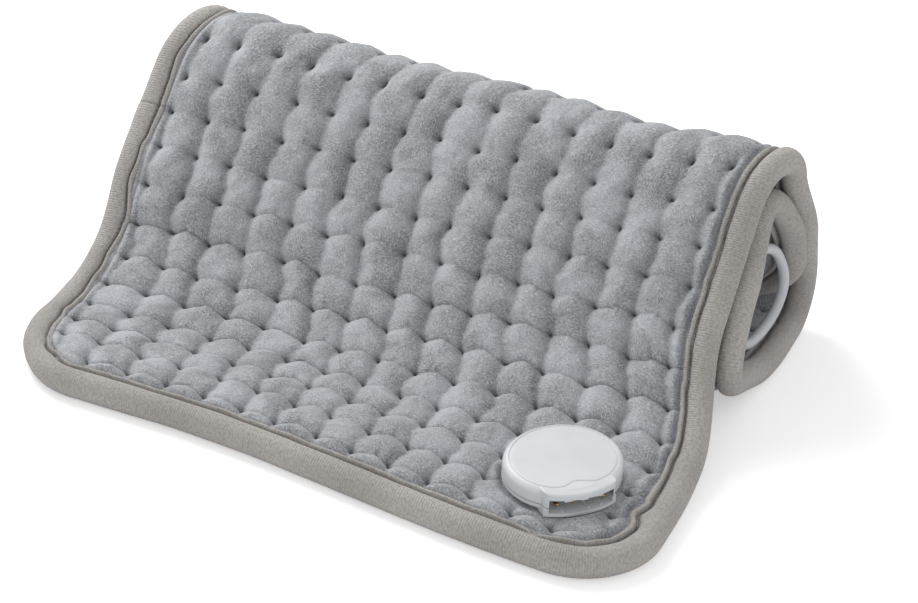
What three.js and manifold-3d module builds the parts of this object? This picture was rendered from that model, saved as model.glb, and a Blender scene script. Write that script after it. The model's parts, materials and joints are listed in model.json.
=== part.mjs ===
// Heating pad with its lead and controller, loosely rolled for storage.
// Millimetres. X runs across the pad, Y from the front edge to the back, Z up.
import * as THREE from 'three';
import { mergeVertices } from 'three/addons/utils/BufferGeometryUtils.js';
import Module from 'manifold-3d';

const wasm = await Module();
wasm.setup();

// Pad and its quilting
const padWidth = 305;
const padLength = 610;
const padThickness = 13;
const cornerRadius = 38;
const tuftPitch = 19;
const quiltMargin = 20;
const tuftHalfThickness = 3;
const creaseRise = 1.2;
const liningHalfThickness = 1.9;
const coverInset = 4.3;
const floorFlat = 0.5;
const meshGap = 0.3;
const cutOverrun = 5;

// Edge binding, a rounded channel round the pad's edge
const bindingWidth = 13;
const bindingDepth = 3;
const bindingCrown = 8;
const bindingNose = 2;
const bindingShoulderShare = 0.8;

// Roll, seen from its right end
const rollHeight = 109.5;
const topRun = 20.2;
const layerGap = 1;
const innerTopGap = 10.5;
const tailLength = 50;
const frontSlope = THREE.MathUtils.degToRad(46);
const backSlope = THREE.MathUtils.degToRad(66);
const bendLimit = THREE.MathUtils.degToRad(44);
const liftRadius = 92;
const topFrontRadius = 22;
const topBackRadius = 16;
const footRadius = 18;
const turnRadius = 13;
const innerFrontRadius = 20;
const innerBackRadius = 15;

// How far the rolled layers run off square
const layerDrift = 10;
const driftStart = 90;
const driftFull = 160;
const driftHeld = 235;
const driftEnd = 330;

// Heating layer inside the covers
const carrierThickness = 0.8;
const carrierGap = 2;
const wireRadius = 0.9;
const wireHeight = 0.3;
const wireSides = 4;
const wireTurnSteps = 5;
const wireInset = 4.5;
const wireReturnGap = 6;
const wireRunRows = 3;
const cutoutLength = 14;
const cutoutWidth = 8;
const cutoutThickness = 1.8;
const sensorLength = 7;
const sensorWidth = 4;
const cutoutFromFront = 53;
const cutoutAside = 30;
const sensorGap = 15;

// Connector socket near the front right corner
const socketFromRight = 49.5;
const socketFromFront = 52.4;
const socketTurn = THREE.MathUtils.degToRad(-43.4);
const socketRadius = 24.5;
const socketHalfLength = 27.5;
const socketAside = 2.6;
const ovalTurn = THREE.MathUtils.degToRad(-55);
const socketHeight = 11;
const socketSink = 1.3;
const socketSplit = 3.6;
const socketSides = 40;
const socketEdge = 1.1;
const socketShoulder = 3.2;
const mouthReach = 26.7;
const mouthBow = 36;
const mouthWidth = 29;
const mouthHeight = 6.2;
const mouthDepth = 15;
const mouthFloor = 1.5;
const mouthWall = 1.9;
const keyWidth = 3.2;
const keyDepth = 0.8;
const keyLength = 3;
const lidInset = 2.4;
const lidGroove = 0.9;
const lidGrooveDepth = 0.5;
const lidFront = 21.6;
const lidDip = 3.4;
const lidDipHalf = 9;
const lidRounding = 12;
const lidRounds = 12;
const lidPoints = 48;
const pinCount = 4;
const pinPitch = 7;
const pinRadius = 0.8;
const pinFree = 9;
const pinTip = 0.6;
const carrierDepth = 7;
const postRadius = 3.2;
const postSpread = 14;
const neckRadius = 4.5;
const plateRadius = 19;
const plateThickness = 1;
const plateSides = 32;

// Screws
const screwRadius = 1.2;
const screwHeadRadius = 2.4;
const screwHeadHeight = 1.4;
const screwPilotRadius = 1.5;
const screwClearRadius = 1.7;
const screwSides = 12;

// Controller
const controllerLength = 104;
const controllerWidth = 46;
const controllerHeight = 20;
const controllerX = -21.5;
const controllerCorner = 19;
const cornerSteps = 5;
const shellWall = 2;
const shellSplit = 9.8;
const shellCrown = 3.6;
const shellRound = 1.4;
const shellBase = 2.6;
const boardEndGap = 10;
const boardSideGap = 6;
const boardThickness = 1.6;
const boardCorner = 9;
const boardHeight = 8.2;
const bossRadius = 2.8;
const bossFromEnd = 16;
const bossAcross = 12.4;
const keyBossAcross = 14;
const screwSink = 2.4;
const screwBite = 4;
const windowFromEnd = 16;
const windowFromKeys = 11.5;
const windowWidth = 14;
const windowCorner = 2.5;
const lensFlange = 1.6;
const lensFlangeThickness = 1;
const lensProud = 0.1;
const displayHeight = 5.6;
const displayMargin = 1.2;
const buttonRadius = 6;
const powerRadius = 7;
const buttonProud = 1;
const buttonTravel = 0.8;
const buttonFlange = 1.1;
const buttonFlangeThickness = 1.1;
const buttonDish = 0.4;
const buttonFit = 0.3;
const buttonSides = 20;
const stemRadius = 2;
const switchSize = 6;
const switchHeight = 2;
const buttonColumn = 7.6;
const buttonSpacing = 17.4;
const powerSpacing = 15.9;
const powerFromEnd = 13.2;

// Cords and their strain reliefs
const cordDiameter = 5;
const cordSides = 8;
const coilSides = 6;
const coilSteps = 24;
const coilPitch = 5.6;
const coilClearance = 0.9;
const mainsTurns = 9;
const padTurns = 4;
const coilStart = THREE.MathUtils.degToRad(-15);
const coilFinish = THREE.MathUtils.degToRad(-45);
const leadIn = 18;
const leadSteps = 10;
const cordStepShare = 1.3;
const leastCoilGap = 0.4;
const reliefLength = 11;
const mainsReliefLength = 20;
const reliefRadius = 4;
const reliefTipRadius = 3.1;
const reliefFlangeRadius = 5.4;
const reliefFlangeThickness = 1.6;
const reliefRibPitch = 4.25;
const reliefRibDepth = 0.6;
const reliefSides = 14;

// Connector plug that fits the socket
const plugFit = 0.35;
const gripLength = 25;
const gripHeight = 11.5;
const gripWaist = 1.2;
const gripRound = 3.2;
const gripTailShare = 0.55;
const sleeveRadius = 1.7;
const sleeveBoreRadius = 1.15;
const sleeveSides = 12;

// Mains plug with two blades
const mainsBodyLength = 31;
const mainsBodyWidth = 26;
const mainsBodyHeight = 17;
const mainsBodyRound = 5;
const mainsNeckShare = 0.55;
const mainsEdge = 1.2;
const bodySteps = 3;
const bladeSpacing = 12.7;
const bladeReach = 17.5;
const bladeSeat = 7;
const bladeThickness = 1.5;
const bladeWidth = 6.35;
const wideBladeWidth = 7.9;
const bladeHoleRadius = 1.6;
const bladeHoleFromTip = 4;
const bladeChamfer = 1.2;
const plugTipInset = 2.4;
const plugRest = 0.8;

const mid = padThickness / 2;
const level = 0;
const halfTurn = Math.PI;
const quarterTurn = Math.PI / 2;

function material(color, roughness, metalness = 0) {
  return new THREE.MeshStandardMaterial({ color, roughness, metalness });
}

const plush = material(0x969aa1, 0.95);
const tape = material(0xa19a93, 0.9);
const felt = material(0xd9d6cf, 0.95);
const heater = material(0xb86a4a, 0.6);
const shellWhite = material(0xe6e9eb, 0.35);
const cordWhite = material(0xcfd2d6, 0.4);
const brass = material(0xb98d45, 0.35, 1);
const nickel = material(0xb9bcc0, 0.3, 1);
const darkPlastic = material(0x2b2d31, 0.4);
const keyGrey = material(0x8b9097, 0.5);
const boardGreen = material(0x2f6b46, 0.5);
const smokedLens = material(0x1c2228, 0.15);

// Geometry helpers

function signedVolume(positions, index) {
  const a = new THREE.Vector3();
  const b = new THREE.Vector3();
  const c = new THREE.Vector3();
  let sum = 0;
  for (let i = 0; i < index.length; i += 3) {
    a.fromArray(positions, index[i] * 3);
    b.fromArray(positions, index[i + 1] * 3);
    c.fromArray(positions, index[i + 2] * 3);
    sum += a.dot(b.cross(c));
  }
  return sum;
}

// A closed body from shared points and triangles, turned to face out.
function closedGeometry(points, triangles) {
  const positions = points.flatMap((p) => [p.x, p.y, p.z]);
  let index = triangles.flat();
  if (signedVolume(positions, index) < 0) index = index.reverse();
  const geometry = new THREE.BufferGeometry();
  geometry.setAttribute('position', new THREE.Float32BufferAttribute(positions, 3));
  geometry.setIndex(index);
  return geometry;
}

// Skin over a row of sections with equal point counts, as a ring or with capped ends.
function loft(sections, isRing = false) {
  const size = sections[0].length;
  const points = sections.flat();
  const triangles = [];
  const last = isRing ? sections.length : sections.length - 1;
  for (let i = 0; i < last; i++) {
    const here = i * size;
    const next = ((i + 1) % sections.length) * size;
    for (let j = 0; j < size; j++) {
      const k = (j + 1) % size;
      triangles.push([here + j, next + j, next + k], [here + j, next + k, here + k]);
    }
  }
  if (!isRing) {
    const end = (sections.length - 1) * size;
    for (let j = 1; j < size - 1; j++) {
      triangles.push([0, j, j + 1], [end, end + j + 1, end + j]);
    }
  }
  return closedGeometry(points, triangles);
}

function solid(geometry) {
  const bare = new THREE.BufferGeometry();
  bare.setAttribute('position', geometry.getAttribute('position').clone());
  if (geometry.index) bare.setIndex(geometry.index.clone());
  const merged = mergeVertices(bare, 1e-4);
  let index = Array.from(merged.index.array);
  const positions = merged.getAttribute('position').array;
  const isThin = (i) => {
    return index[i] === index[i + 1] || index[i + 1] === index[i + 2] || index[i] === index[i + 2];
  };
  index = index.filter((_, n) => !isThin(n - (n % 3)));
  if (signedVolume(positions, index) < 0) index = index.reverse();
  return new wasm.Manifold(new wasm.Mesh({
    numProp: 3,
    vertProperties: new Float32Array(positions),
    triVerts: new Uint32Array(index),
  }));
}

function fromSolid(body) {
  const mesh = body.getMesh();
  const geometry = new THREE.BufferGeometry();
  geometry.setAttribute('position', new THREE.Float32BufferAttribute(mesh.vertProperties, 3));
  geometry.setIndex(new THREE.Uint32BufferAttribute(mesh.triVerts, 1));
  return geometry;
}

function cut(geometry, ...tools) {
  return fromSolid(tools.reduce((body, tool) => body.subtract(solid(tool)), solid(geometry)));
}

function join(geometry, ...others) {
  return fromSolid(others.reduce((body, other) => body.add(solid(other)), solid(geometry)));
}

function box(xLow, xHigh, yLow, yHigh, zLow, zHigh) {
  const geometry = new THREE.BoxGeometry(xHigh - xLow, yHigh - yLow, zHigh - zLow);
  return geometry.translate((xLow + xHigh) / 2, (yLow + yHigh) / 2, (zLow + zHigh) / 2);
}

// A post along Z between two heights.
function post(radius, zLow, zHigh, sides) {
  const geometry = new THREE.CylinderGeometry(radius, radius, zHigh - zLow, sides);
  return geometry.rotateX(quarterTurn).translate(0, 0, (zLow + zHigh) / 2);
}

// A rod along X between two places.
function rod(radius, xLow, xHigh, sides) {
  const geometry = new THREE.CylinderGeometry(radius, radius, xHigh - xLow, sides);
  return geometry.rotateZ(quarterTurn).translate((xLow + xHigh) / 2, 0, 0);
}

// A profile of [radius, height] pairs turned about Z.
function turned(profile, sides) {
  const points = profile.map(([radius, height]) => new THREE.Vector2(radius, height));
  return new THREE.LatheGeometry(points, sides).rotateX(quarterTurn);
}

// A profile of [radius, place] pairs turned about X.
function turnedAlongX(profile, sides) {
  const points = profile.map(([radius, place]) => new THREE.Vector2(radius, place));
  return new THREE.LatheGeometry(points, sides).rotateZ(-quarterTurn);
}

function roundedOutline(length, width, radius, steps) {
  const points = [];
  const r = Math.min(radius, length / 2, width / 2);
  const corners = [[1, 1, 0], [-1, 1, 1], [-1, -1, 2], [1, -1, 3]];
  for (const [sx, sy, turn] of corners) {
    for (let i = 0; i <= steps; i++) {
      const angle = (turn + i / steps) * quarterTurn;
      const x = sx * (length / 2 - r) + r * Math.cos(angle);
      const y = sy * (width / 2 - r) + r * Math.sin(angle);
      points.push(new THREE.Vector2(x, y));
    }
  }
  return points;
}

// Rounded rectangles stacked by [inset, height] pairs.
function stackedBlock(length, width, radius, steps, levels) {
  return loft(levels.map(([inset, height]) => {
    const outline = roundedOutline(length - 2 * inset, width - 2 * inset, radius - inset, steps);
    return outline.map((p) => new THREE.Vector3(p.x, p.y, height));
  }));
}

function prism(outline, zLow, zHigh) {
  return loft([zLow, zHigh].map((z) => outline.map((p) => new THREE.Vector3(p.x, p.y, z))));
}

// Roll path in the YZ plane: straight runs joined by rounded corners

function direction(angle) {
  return new THREE.Vector2(Math.cos(angle), Math.sin(angle));
}

function crossing(p, angleP, q, angleQ) {
  const a = direction(angleP);
  const b = direction(angleQ);
  const t = q.clone().sub(p).cross(b) / a.cross(b);
  return p.clone().addScaledVector(a, t);
}

function toTheRight(p, angle, distance) {
  return p.clone().add(new THREE.Vector2(Math.sin(angle), -Math.cos(angle)).multiplyScalar(distance));
}

const layerStep = padThickness + layerGap;
const outerTop = new THREE.Vector2(0, rollHeight - mid);
const innerTop = new THREE.Vector2(0, rollHeight - mid - padThickness - innerTopGap);
const floorLine = new THREE.Vector2(0, mid);

function rollCorners() {
  const lift = floorLine.clone();
  const topFront = crossing(lift, frontSlope, outerTop, level);
  const topBack = topFront.clone().add(new THREE.Vector2(topRun, 0));
  const foot = crossing(topBack, -backSlope, floorLine, level);
  const innerFront = toTheRight(lift, frontSlope, layerStep);
  const turn = crossing(innerFront, frontSlope, floorLine, level);
  const innerTopFront = crossing(innerFront, frontSlope, innerTop, level);
  const innerBack = toTheRight(topBack, -backSlope, layerStep);
  const innerTopBack = crossing(innerBack, -backSlope, innerTop, level);
  const end = innerTopBack.clone().addScaledVector(direction(-backSlope), tailLength);
  return { lift, topFront, topBack, foot, turn, innerTopFront, innerTopBack, end };
}

const corners = rollCorners();
const bends = [
  [corners.lift, liftRadius],
  [corners.topFront, topFrontRadius],
  [corners.topBack, topBackRadius],
  [corners.foot, footRadius],
  [corners.turn, turnRadius],
  [corners.innerTopFront, innerFrontRadius],
  [corners.innerTopBack, innerBackRadius],
];

function turnBetween(a, b) {
  return Math.atan2(a.cross(b), a.dot(b));
}

// Runs and arcs from the first bend to the free end. A bend is limited by the runs beside it.
function rollPieces() {
  const chain = [new THREE.Vector2(-padLength, mid), ...bends.map(([p]) => p), corners.end];
  const steps = chain.slice(1).map((p, i) => p.clone().sub(chain[i]));
  const bendTurns = bends.map((_, i) => turnBetween(steps[i], steps[i + 1]));
  const wanted = bends.map(([, radius], i) => radius * Math.tan(Math.abs(bendTurns[i]) / 2));
  const limits = wanted.map((reach, i) => {
    const before = i === 0 ? Infinity : steps[i].length() / (wanted[i - 1] + reach);
    const after = i === bends.length - 1
      ? steps[i + 1].length() / reach
      : steps[i + 1].length() / (reach + wanted[i + 1]);
    return Math.min(1, before, after);
  });
  const reaches = wanted.map((reach, i) => reach * limits[i]);
  const pieces = [];
  bends.forEach(([corner, radius], i) => {
    const inward = steps[i].clone().normalize();
    const start = corner.clone().addScaledVector(inward, -reaches[i]);
    const heading = inward.angle();
    const arcRadius = radius * limits[i];
    const arcLength = arcRadius * Math.abs(bendTurns[i]);
    pieces.push({ start, heading, radius: arcRadius, turn: bendTurns[i], length: arcLength });
    const outward = steps[i + 1].clone().normalize();
    const runStart = corner.clone().addScaledVector(outward, reaches[i]);
    const runLength = steps[i + 1].length() - reaches[i] - (reaches[i + 1] ?? 0);
    const length = Math.max(runLength, 0);
    pieces.push({ start: runStart, heading: outward.angle(), radius: 0, turn: 0, length });
  });
  return pieces;
}

const pieces = rollPieces();
const rolledLength = pieces.reduce((sum, piece) => sum + piece.length, 0);
const apronLength = padLength - rolledLength;
const rollStart = apronLength - pieces[0].start.x;

// Centre line and upward normal at a distance along the pad from its front edge.
function pathAt(distance) {
  if (distance <= apronLength) {
    return { point: new THREE.Vector2(distance, mid), heading: 0 };
  }
  let rest = distance - apronLength;
  let piece = pieces[0];
  for (const next of pieces) {
    piece = next;
    if (rest <= next.length) break;
    if (next !== pieces[pieces.length - 1]) rest -= next.length;
  }
  const origin = piece.start.clone().add(new THREE.Vector2(rollStart, 0));
  if (piece.radius === 0) {
    return { point: origin.addScaledVector(direction(piece.heading), rest), heading: piece.heading };
  }
  const side = Math.sign(piece.turn);
  const angle = piece.heading + (side * rest) / piece.radius;
  const centre = toTheRight(origin, piece.heading, -side * piece.radius);
  return { point: toTheRight(centre, angle, side * piece.radius), heading: angle };
}

function smooth(value, low, high) {
  return THREE.MathUtils.smoothstep(value, low, high);
}

function driftAt(distance) {
  const out = smooth(distance, driftStart, driftFull);
  const back = smooth(distance, driftHeld, driftEnd);
  return -layerDrift * (out - back);
}

// Stations: the edges, the tuft rows, and more inside a row that bends tightly
const rowCount = Math.round((padLength - 2 * quiltMargin) / tuftPitch);
const rowPitch = (padLength - 2 * quiltMargin) / rowCount;
const columnCount = Math.round((padWidth - 2 * quiltMargin) / tuftPitch);
const columnPitch = (padWidth - 2 * quiltMargin) / columnCount;
const rowLines = [coverInset];
for (let i = 0; i <= rowCount; i++) rowLines.push(quiltMargin + i * rowPitch);
rowLines.push(padLength - coverInset);

function angleGap(a, b) {
  const gap = Math.abs(a - b) % (2 * Math.PI);
  return Math.min(gap, 2 * Math.PI - gap);
}

function extraStations(low, high) {
  const samples = 8;
  let turn = 0;
  for (let i = 0; i < samples; i++) {
    const a = pathAt(low + ((high - low) * i) / samples).heading;
    const b = pathAt(low + ((high - low) * (i + 1)) / samples).heading;
    turn += angleGap(a, b);
  }
  const count = Math.max(Math.ceil(turn / bendLimit) - 1, 0);
  return Array.from({ length: count }, (_, i) => low + ((high - low) * (i + 1)) / (count + 1));
}

const stations = [0];
for (let i = 0; i < rowLines.length; i++) {
  if (i > 0) stations.push(...extraStations(rowLines[i - 1], rowLines[i]));
  stations.push(rowLines[i]);
}
stations.push(padLength);
const frames = stations.map((distance) => {
  const { point, heading } = pathAt(distance);
  return { distance, point, normal: direction(heading + quarterTurn), drift: driftAt(distance) };
});

// A point of the rolled pad from its place on the flat pad and its height off the middle.
function padPoint(x, distance, height) {
  let i = 1;
  while (i < frames.length - 1 && frames[i].distance < distance) i++;
  const a = frames[i - 1];
  const b = frames[i];
  const share = (distance - a.distance) / (b.distance - a.distance);
  const low = a.point.clone().addScaledVector(a.normal, height);
  const high = b.point.clone().addScaledVector(b.normal, height);
  const spot = low.lerp(high, share);
  return new THREE.Vector3(x + THREE.MathUtils.lerp(a.drift, b.drift, share), spot.x, spot.y);
}

// Quilted cover

const columnLines = [-padWidth / 2 + coverInset];
for (let i = 0; i <= columnCount; i++) columnLines.push(-padWidth / 2 + quiltMargin + i * columnPitch);
columnLines.push(padWidth / 2 - coverInset);

// Moves a point of the cover's edge onto its rounded corner.
function onRoundedEdge(x, distance) {
  const centreX = padWidth / 2 - cornerRadius;
  const fromEnd = Math.min(distance, padLength - distance);
  const radius = cornerRadius - coverInset;
  const dx = Math.abs(x) - centreX;
  const dy = cornerRadius - fromEnd;
  if (dx <= 0 || dy <= 0) return [x, distance];
  let turnedX = dx;
  let turnedY = dy;
  if (dx >= radius && dy >= radius) {
    turnedX = radius * Math.SQRT1_2;
    turnedY = radius * Math.SQRT1_2;
  } else if (dx >= radius) {
    turnedX = Math.sqrt(radius * radius - dy * dy);
  } else {
    turnedY = Math.sqrt(radius * radius - dx * dx);
  }
  const newEnd = cornerRadius - turnedY;
  const newX = Math.sign(x) * (centreX + turnedX);
  return [newX, distance < padLength / 2 ? newEnd : padLength - newEnd];
}

function quiltedCover(side) {
  const points = [];
  const triangles = [];
  const lastColumn = columnLines.length - 1;
  const lastRow = rowLines.length - 1;
  const add = (x, distance, height) => points.push(padPoint(x, distance, side * height)) - 1;
  const between = (j) => extraStations(rowLines[j], rowLines[j + 1]);
  const outer = rowLines.map((distance, j) => columnLines.map((x, i) => {
    const isEdge = i === 0 || j === 0 || i === lastColumn || j === lastRow;
    const [px, pd] = isEdge ? onRoundedEdge(x, distance) : [x, distance];
    return add(px, pd, tuftHalfThickness);
  }));
  const creases = rowLines.slice(0, -1).map((_, j) => columnLines.map((x, i) => {
    const isMargin = i <= 1 || i >= lastColumn - 1 || j === 0 || j === lastRow - 1;
    return between(j).map((distance) => add(x, distance, tuftHalfThickness + (isMargin ? 0 : creaseRise)));
  }));
  for (let j = 0; j < lastRow; j++) {
    for (let i = 0; i < lastColumn; i++) {
      const left = [outer[j][i], ...creases[j][i], outer[j + 1][i]];
      const right = [outer[j][i + 1], ...creases[j][i + 1], outer[j + 1][i + 1]];
      const isMargin = i === 0 || j === 0 || i === lastColumn - 1 || j === lastRow - 1;
      if (isMargin) {
        for (let k = 0; k < left.length - 1; k++) {
          triangles.push([left[k], right[k], right[k + 1]], [left[k], right[k + 1], left[k + 1]]);
        }
        continue;
      }
      const x = (columnLines[i] + columnLines[i + 1]) / 2;
      const apex = add(x, (rowLines[j] + rowLines[j + 1]) / 2, mid);
      const loop = [left[0], ...right, ...left.slice(1).reverse()];
      loop.forEach((p, k) => triangles.push([p, loop[(k + 1) % loop.length], apex]));
    }
  }
  // Edge points in order: front, right side, back, left side.
  const rightSide = [];
  const leftSide = [];
  for (let j = 0; j < lastRow; j++) {
    rightSide.push(...creases[j][lastColumn], outer[j + 1][lastColumn]);
    leftSide.push(...creases[j][0], outer[j + 1][0]);
  }
  const front = outer[0];
  const back = outer[lastRow];
  const rim = [...front, ...rightSide, ...back.slice(0, -1).reverse(), ...leftSide.slice(0, -1).reverse()];
  const innerOf = new Map();
  const edgeSpots = new Map();
  rowLines.forEach((distance, j) => columnLines.forEach((x, i) => {
    if (i === 0 || j === 0 || i === lastColumn || j === lastRow) {
      edgeSpots.set(outer[j][i], onRoundedEdge(x, distance));
    }
  }));
  creases.forEach((row, j) => [0, lastColumn].forEach((i) => {
    between(j).forEach((distance, k) => edgeSpots.set(row[i][k], [columnLines[i], distance]));
  }));
  for (const p of rim) innerOf.set(p, add(...edgeSpots.get(p), liningHalfThickness));
  rim.forEach((p, k) => {
    const q = rim[(k + 1) % rim.length];
    triangles.push([q, p, innerOf.get(p)], [q, innerOf.get(p), innerOf.get(q)]);
  });
  const leftInner = [front[0], ...leftSide].map((p) => innerOf.get(p));
  const rightInner = [front[lastColumn], ...rightSide].map((p) => innerOf.get(p));
  for (let i = 0; i < lastColumn; i++) {
    triangles.push([leftInner[1], innerOf.get(front[i + 1]), innerOf.get(front[i])]);
  }
  triangles.push([leftInner[1], rightInner[1], rightInner[0]]);
  for (let k = 1; k < leftInner.length - 2; k++) {
    triangles.push([leftInner[k], leftInner[k + 1], rightInner[k + 1]]);
    triangles.push([leftInner[k], rightInner[k + 1], rightInner[k]]);
  }
  const last = leftInner.length - 1;
  for (let i = 0; i < lastColumn; i++) {
    triangles.push([leftInner[last - 1], innerOf.get(back[i]), innerOf.get(back[i + 1])]);
  }
  triangles.push([leftInner[last - 1], rightInner[last], rightInner[last - 1]]);
  return closedGeometry(points, triangles);
}

const floorTool = box(-padWidth, padWidth, -padLength, padLength, -cutOverrun - mid, floorFlat);

// Edge binding

function bindingGeometry() {
  const slot = tuftHalfThickness + meshGap;
  const profile = [
    [bindingWidth, slot],
    [bindingCrown, mid],
    [bindingNose, mid * bindingShoulderShare],
    [0, 0],
    [bindingNose, -mid * bindingShoulderShare],
    [bindingCrown, -mid],
    [bindingWidth, -slot],
    [bindingDepth, -slot],
    [bindingDepth, slot],
  ];
  const cornerStepCount = 5;
  const sections = [];
  const cornerX = padWidth / 2 - cornerRadius;
  const cornerCentres = [
    [cornerX, cornerRadius, -quarterTurn],
    [cornerX, padLength - cornerRadius, 0],
    [-cornerX, padLength - cornerRadius, quarterTurn],
    [-cornerX, cornerRadius, halfTurn],
  ];
  const sideStations = stations.filter((d) => d > cornerRadius && d < padLength - cornerRadius);
  const addSection = (place) => {
    sections.push(profile.map(([inset, height]) => padPoint(...place(inset), height)));
  };
  cornerCentres.forEach(([cx, cy, start], n) => {
    for (let i = 0; i <= cornerStepCount; i++) {
      const along = direction(start + (i / cornerStepCount) * quarterTurn);
      addSection((inset) => {
        const reach = cornerRadius - inset;
        return [cx + reach * along.x, cy + reach * along.y];
      });
    }
    if (n === 0) {
      for (const d of sideStations) addSection((inset) => [padWidth / 2 - inset, d]);
    }
    if (n === 2) {
      for (const d of sideStations.toReversed()) addSection((inset) => [inset - padWidth / 2, d]);
    }
  });
  return loft(sections, true);
}

// Heating layer
const carrierInset = bindingWidth + carrierGap;

function carrierGeometry() {
  const low = -liningHalfThickness;
  const high = low + carrierThickness;
  const edge = padWidth / 2 - carrierInset;
  const inside = stations.filter((d) => d > carrierInset && d < padLength - carrierInset);
  const along = [carrierInset, ...inside, padLength - carrierInset];
  return loft(along.map((d) => [
    padPoint(-edge, d, low),
    padPoint(edge, d, low),
    padPoint(edge, d, high),
    padPoint(-edge, d, high),
  ]));
}

const wireRunPitch = wireRunRows * rowPitch;
const wireTurnRadius = wireRunPitch / 2;
const wireReturn = padWidth / 2 - carrierInset - wireInset;
const wireReach = wireReturn - wireReturnGap;
const wireFirst = quiltMargin + rowPitch;
const wireRuns = Math.floor((padLength - carrierInset - wireRadius - wireFirst) / wireRunPitch) + 1;
const socketX = padWidth / 2 - socketFromRight;
const wireTagX = socketX - plateRadius - wireRadius - 2 * meshGap;
const sensorX = socketX - plateRadius - sensorGap - sensorLength / 2;

// The wire's route on the flat pad: runs across it, half turns, and one run back.
function wireRoute() {
  const route = [[wireTagX, wireFirst]];
  const runEnd = wireReach - wireTurnRadius;
  let side = -1;
  for (let run = 0; run < wireRuns; run++) {
    const distance = wireFirst + run * wireRunPitch;
    route.push([side * runEnd, distance]);
    if (run === wireRuns - 1) break;
    for (let i = 1; i <= wireTurnSteps; i++) {
      const angle = (i / wireTurnSteps) * halfTurn;
      const x = side * (runEnd + wireTurnRadius * Math.sin(angle));
      route.push([x, distance + wireTurnRadius * (1 - Math.cos(angle))]);
    }
    side = -side;
  }
  const lastDistance = wireFirst + (wireRuns - 1) * wireRunPitch;
  const returnX = side * wireReturn;
  const returnFront = quiltMargin;
  route.push([returnX, lastDistance - wireTurnRadius / 2]);
  route.push([returnX, returnFront + wireTurnRadius / 2]);
  route.push([side * runEnd, returnFront]);
  route.push([wireTagX, returnFront]);
  return route;
}

function splitAtStations(route) {
  const split = [route[0]];
  for (let i = 1; i < route.length; i++) {
    const [ax, ad] = route[i - 1];
    const [bx, bd] = route[i];
    const crossed = stations.filter((d) => (d - ad) * (d - bd) < -meshGap * meshGap);
    if (bd < ad) crossed.reverse();
    for (const d of crossed) {
      const share = (d - ad) / (bd - ad);
      split.push([THREE.MathUtils.lerp(ax, bx, share), d]);
    }
    split.push(route[i]);
  }
  return split;
}

function wireGeometry() {
  const route = splitAtStations(wireRoute()).map(([x, d]) => new THREE.Vector2(x, d));
  const sections = route.map((p, i) => {
    const before = i === 0 ? p : route[i - 1];
    const after = i === route.length - 1 ? p : route[i + 1];
    const intoPoint = i === 0 ? after.clone().sub(p) : p.clone().sub(before);
    const outOf = i === route.length - 1 ? intoPoint : after.clone().sub(p);
    const tangent = intoPoint.normalize().add(outOf.clone().normalize()).normalize();
    const across = new THREE.Vector2(-tangent.y, tangent.x);
    return Array.from({ length: wireSides }, (_, k) => {
      const angle = (k / wireSides) * 2 * Math.PI;
      const spot = p.clone().addScaledVector(across, wireRadius * Math.cos(angle));
      return padPoint(spot.x, spot.y, wireHeight + wireRadius * Math.sin(angle));
    });
  });
  return loft(sections);
}

// Connector socket, built with its mouth towards its own +X

const socketBase = padThickness - socketSink;
const socketFloorPocket = socketBase - meshGap;
const plateTop = mid + liningHalfThickness - meshGap;
const mouthCeiling = mouthFloor + mouthHeight;
const collarHalfWidth = mouthWidth / 2 + mouthWall;
const collarBack = mouthReach / 2;

function roundOutline(radius, sides) {
  return Array.from({ length: sides }, (_, i) => {
    const angle = (i / sides) * 2 * Math.PI;
    return new THREE.Vector2(radius * Math.cos(angle), radius * Math.sin(angle));
  });
}

// How far the socket's oval reaches from its middle at an angle.
function ovalReach(angle, inset) {
  const turned = angle - ovalTurn;
  return 1 / Math.hypot(
    Math.cos(turned) / (socketHalfLength - inset),
    Math.sin(turned) / (socketRadius - inset),
  );
}

function ovalOutline(inset) {
  return roundOutline(1, socketSides).map((p) => {
    return p.multiplyScalar(ovalReach(p.angle(), inset)).add(new THREE.Vector2(0, socketAside));
  });
}

function stackedOval(levels) {
  return loft(levels.map(([inset, height]) => {
    return ovalOutline(inset).map((p) => new THREE.Vector3(p.x, p.y, height));
  }));
}

// What lies in front of the mouth's bowed face.
function inFront(zLow, zHigh) {
  const aside = socketHalfLength + cutOverrun;
  const bow = prism(roundOutline(mouthBow, 2 * socketSides), zLow - cutOverrun, zHigh + cutOverrun);
  return cut(box(collarBack, aside, -aside, aside, zLow, zHigh), bow.translate(mouthReach - mouthBow, 0, 0));
}

// The raised lid's outline: the oval, cut by a front with a shallow heart dip above the mouth.
function lidOutline(inset) {
  return roundOutline(1, lidPoints).map((p) => {
    const oval = ovalReach(p.angle(), lidInset + inset);
    let reach = oval;
    if (p.x > 0) {
      let front = oval;
      for (let i = 0; i < lidRounds; i++) {
        const share = THREE.MathUtils.clamp((front * p.y + socketAside) / lidDipHalf, -1, 1);
        const dip = lidDip * Math.cos(share * quarterTurn) ** 2;
        front = (front + Math.min((lidFront - inset - dip) / p.x, 2 * oval)) / 2;
      }
      reach = (oval ** -lidRounding + front ** -lidRounding) ** (-1 / lidRounding);
    }
    return p.multiplyScalar(reach).add(new THREE.Vector2(0, socketAside));
  });
}

function pinPlaces() {
  return Array.from({ length: pinCount }, (_, i) => (i - (pinCount - 1) / 2) * pinPitch);
}

const pinHeight = mouthFloor + mouthHeight / 2;
const mouthBack = mouthReach - mouthDepth;
const carrierFront = mouthBack - meshGap;
const carrierBack = carrierFront - carrierDepth;
const carrierHalfWidth = (mouthWidth - mouthWall) / 2;
const carrierHalfHeight = mouthHeight / 2 - meshGap;

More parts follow.
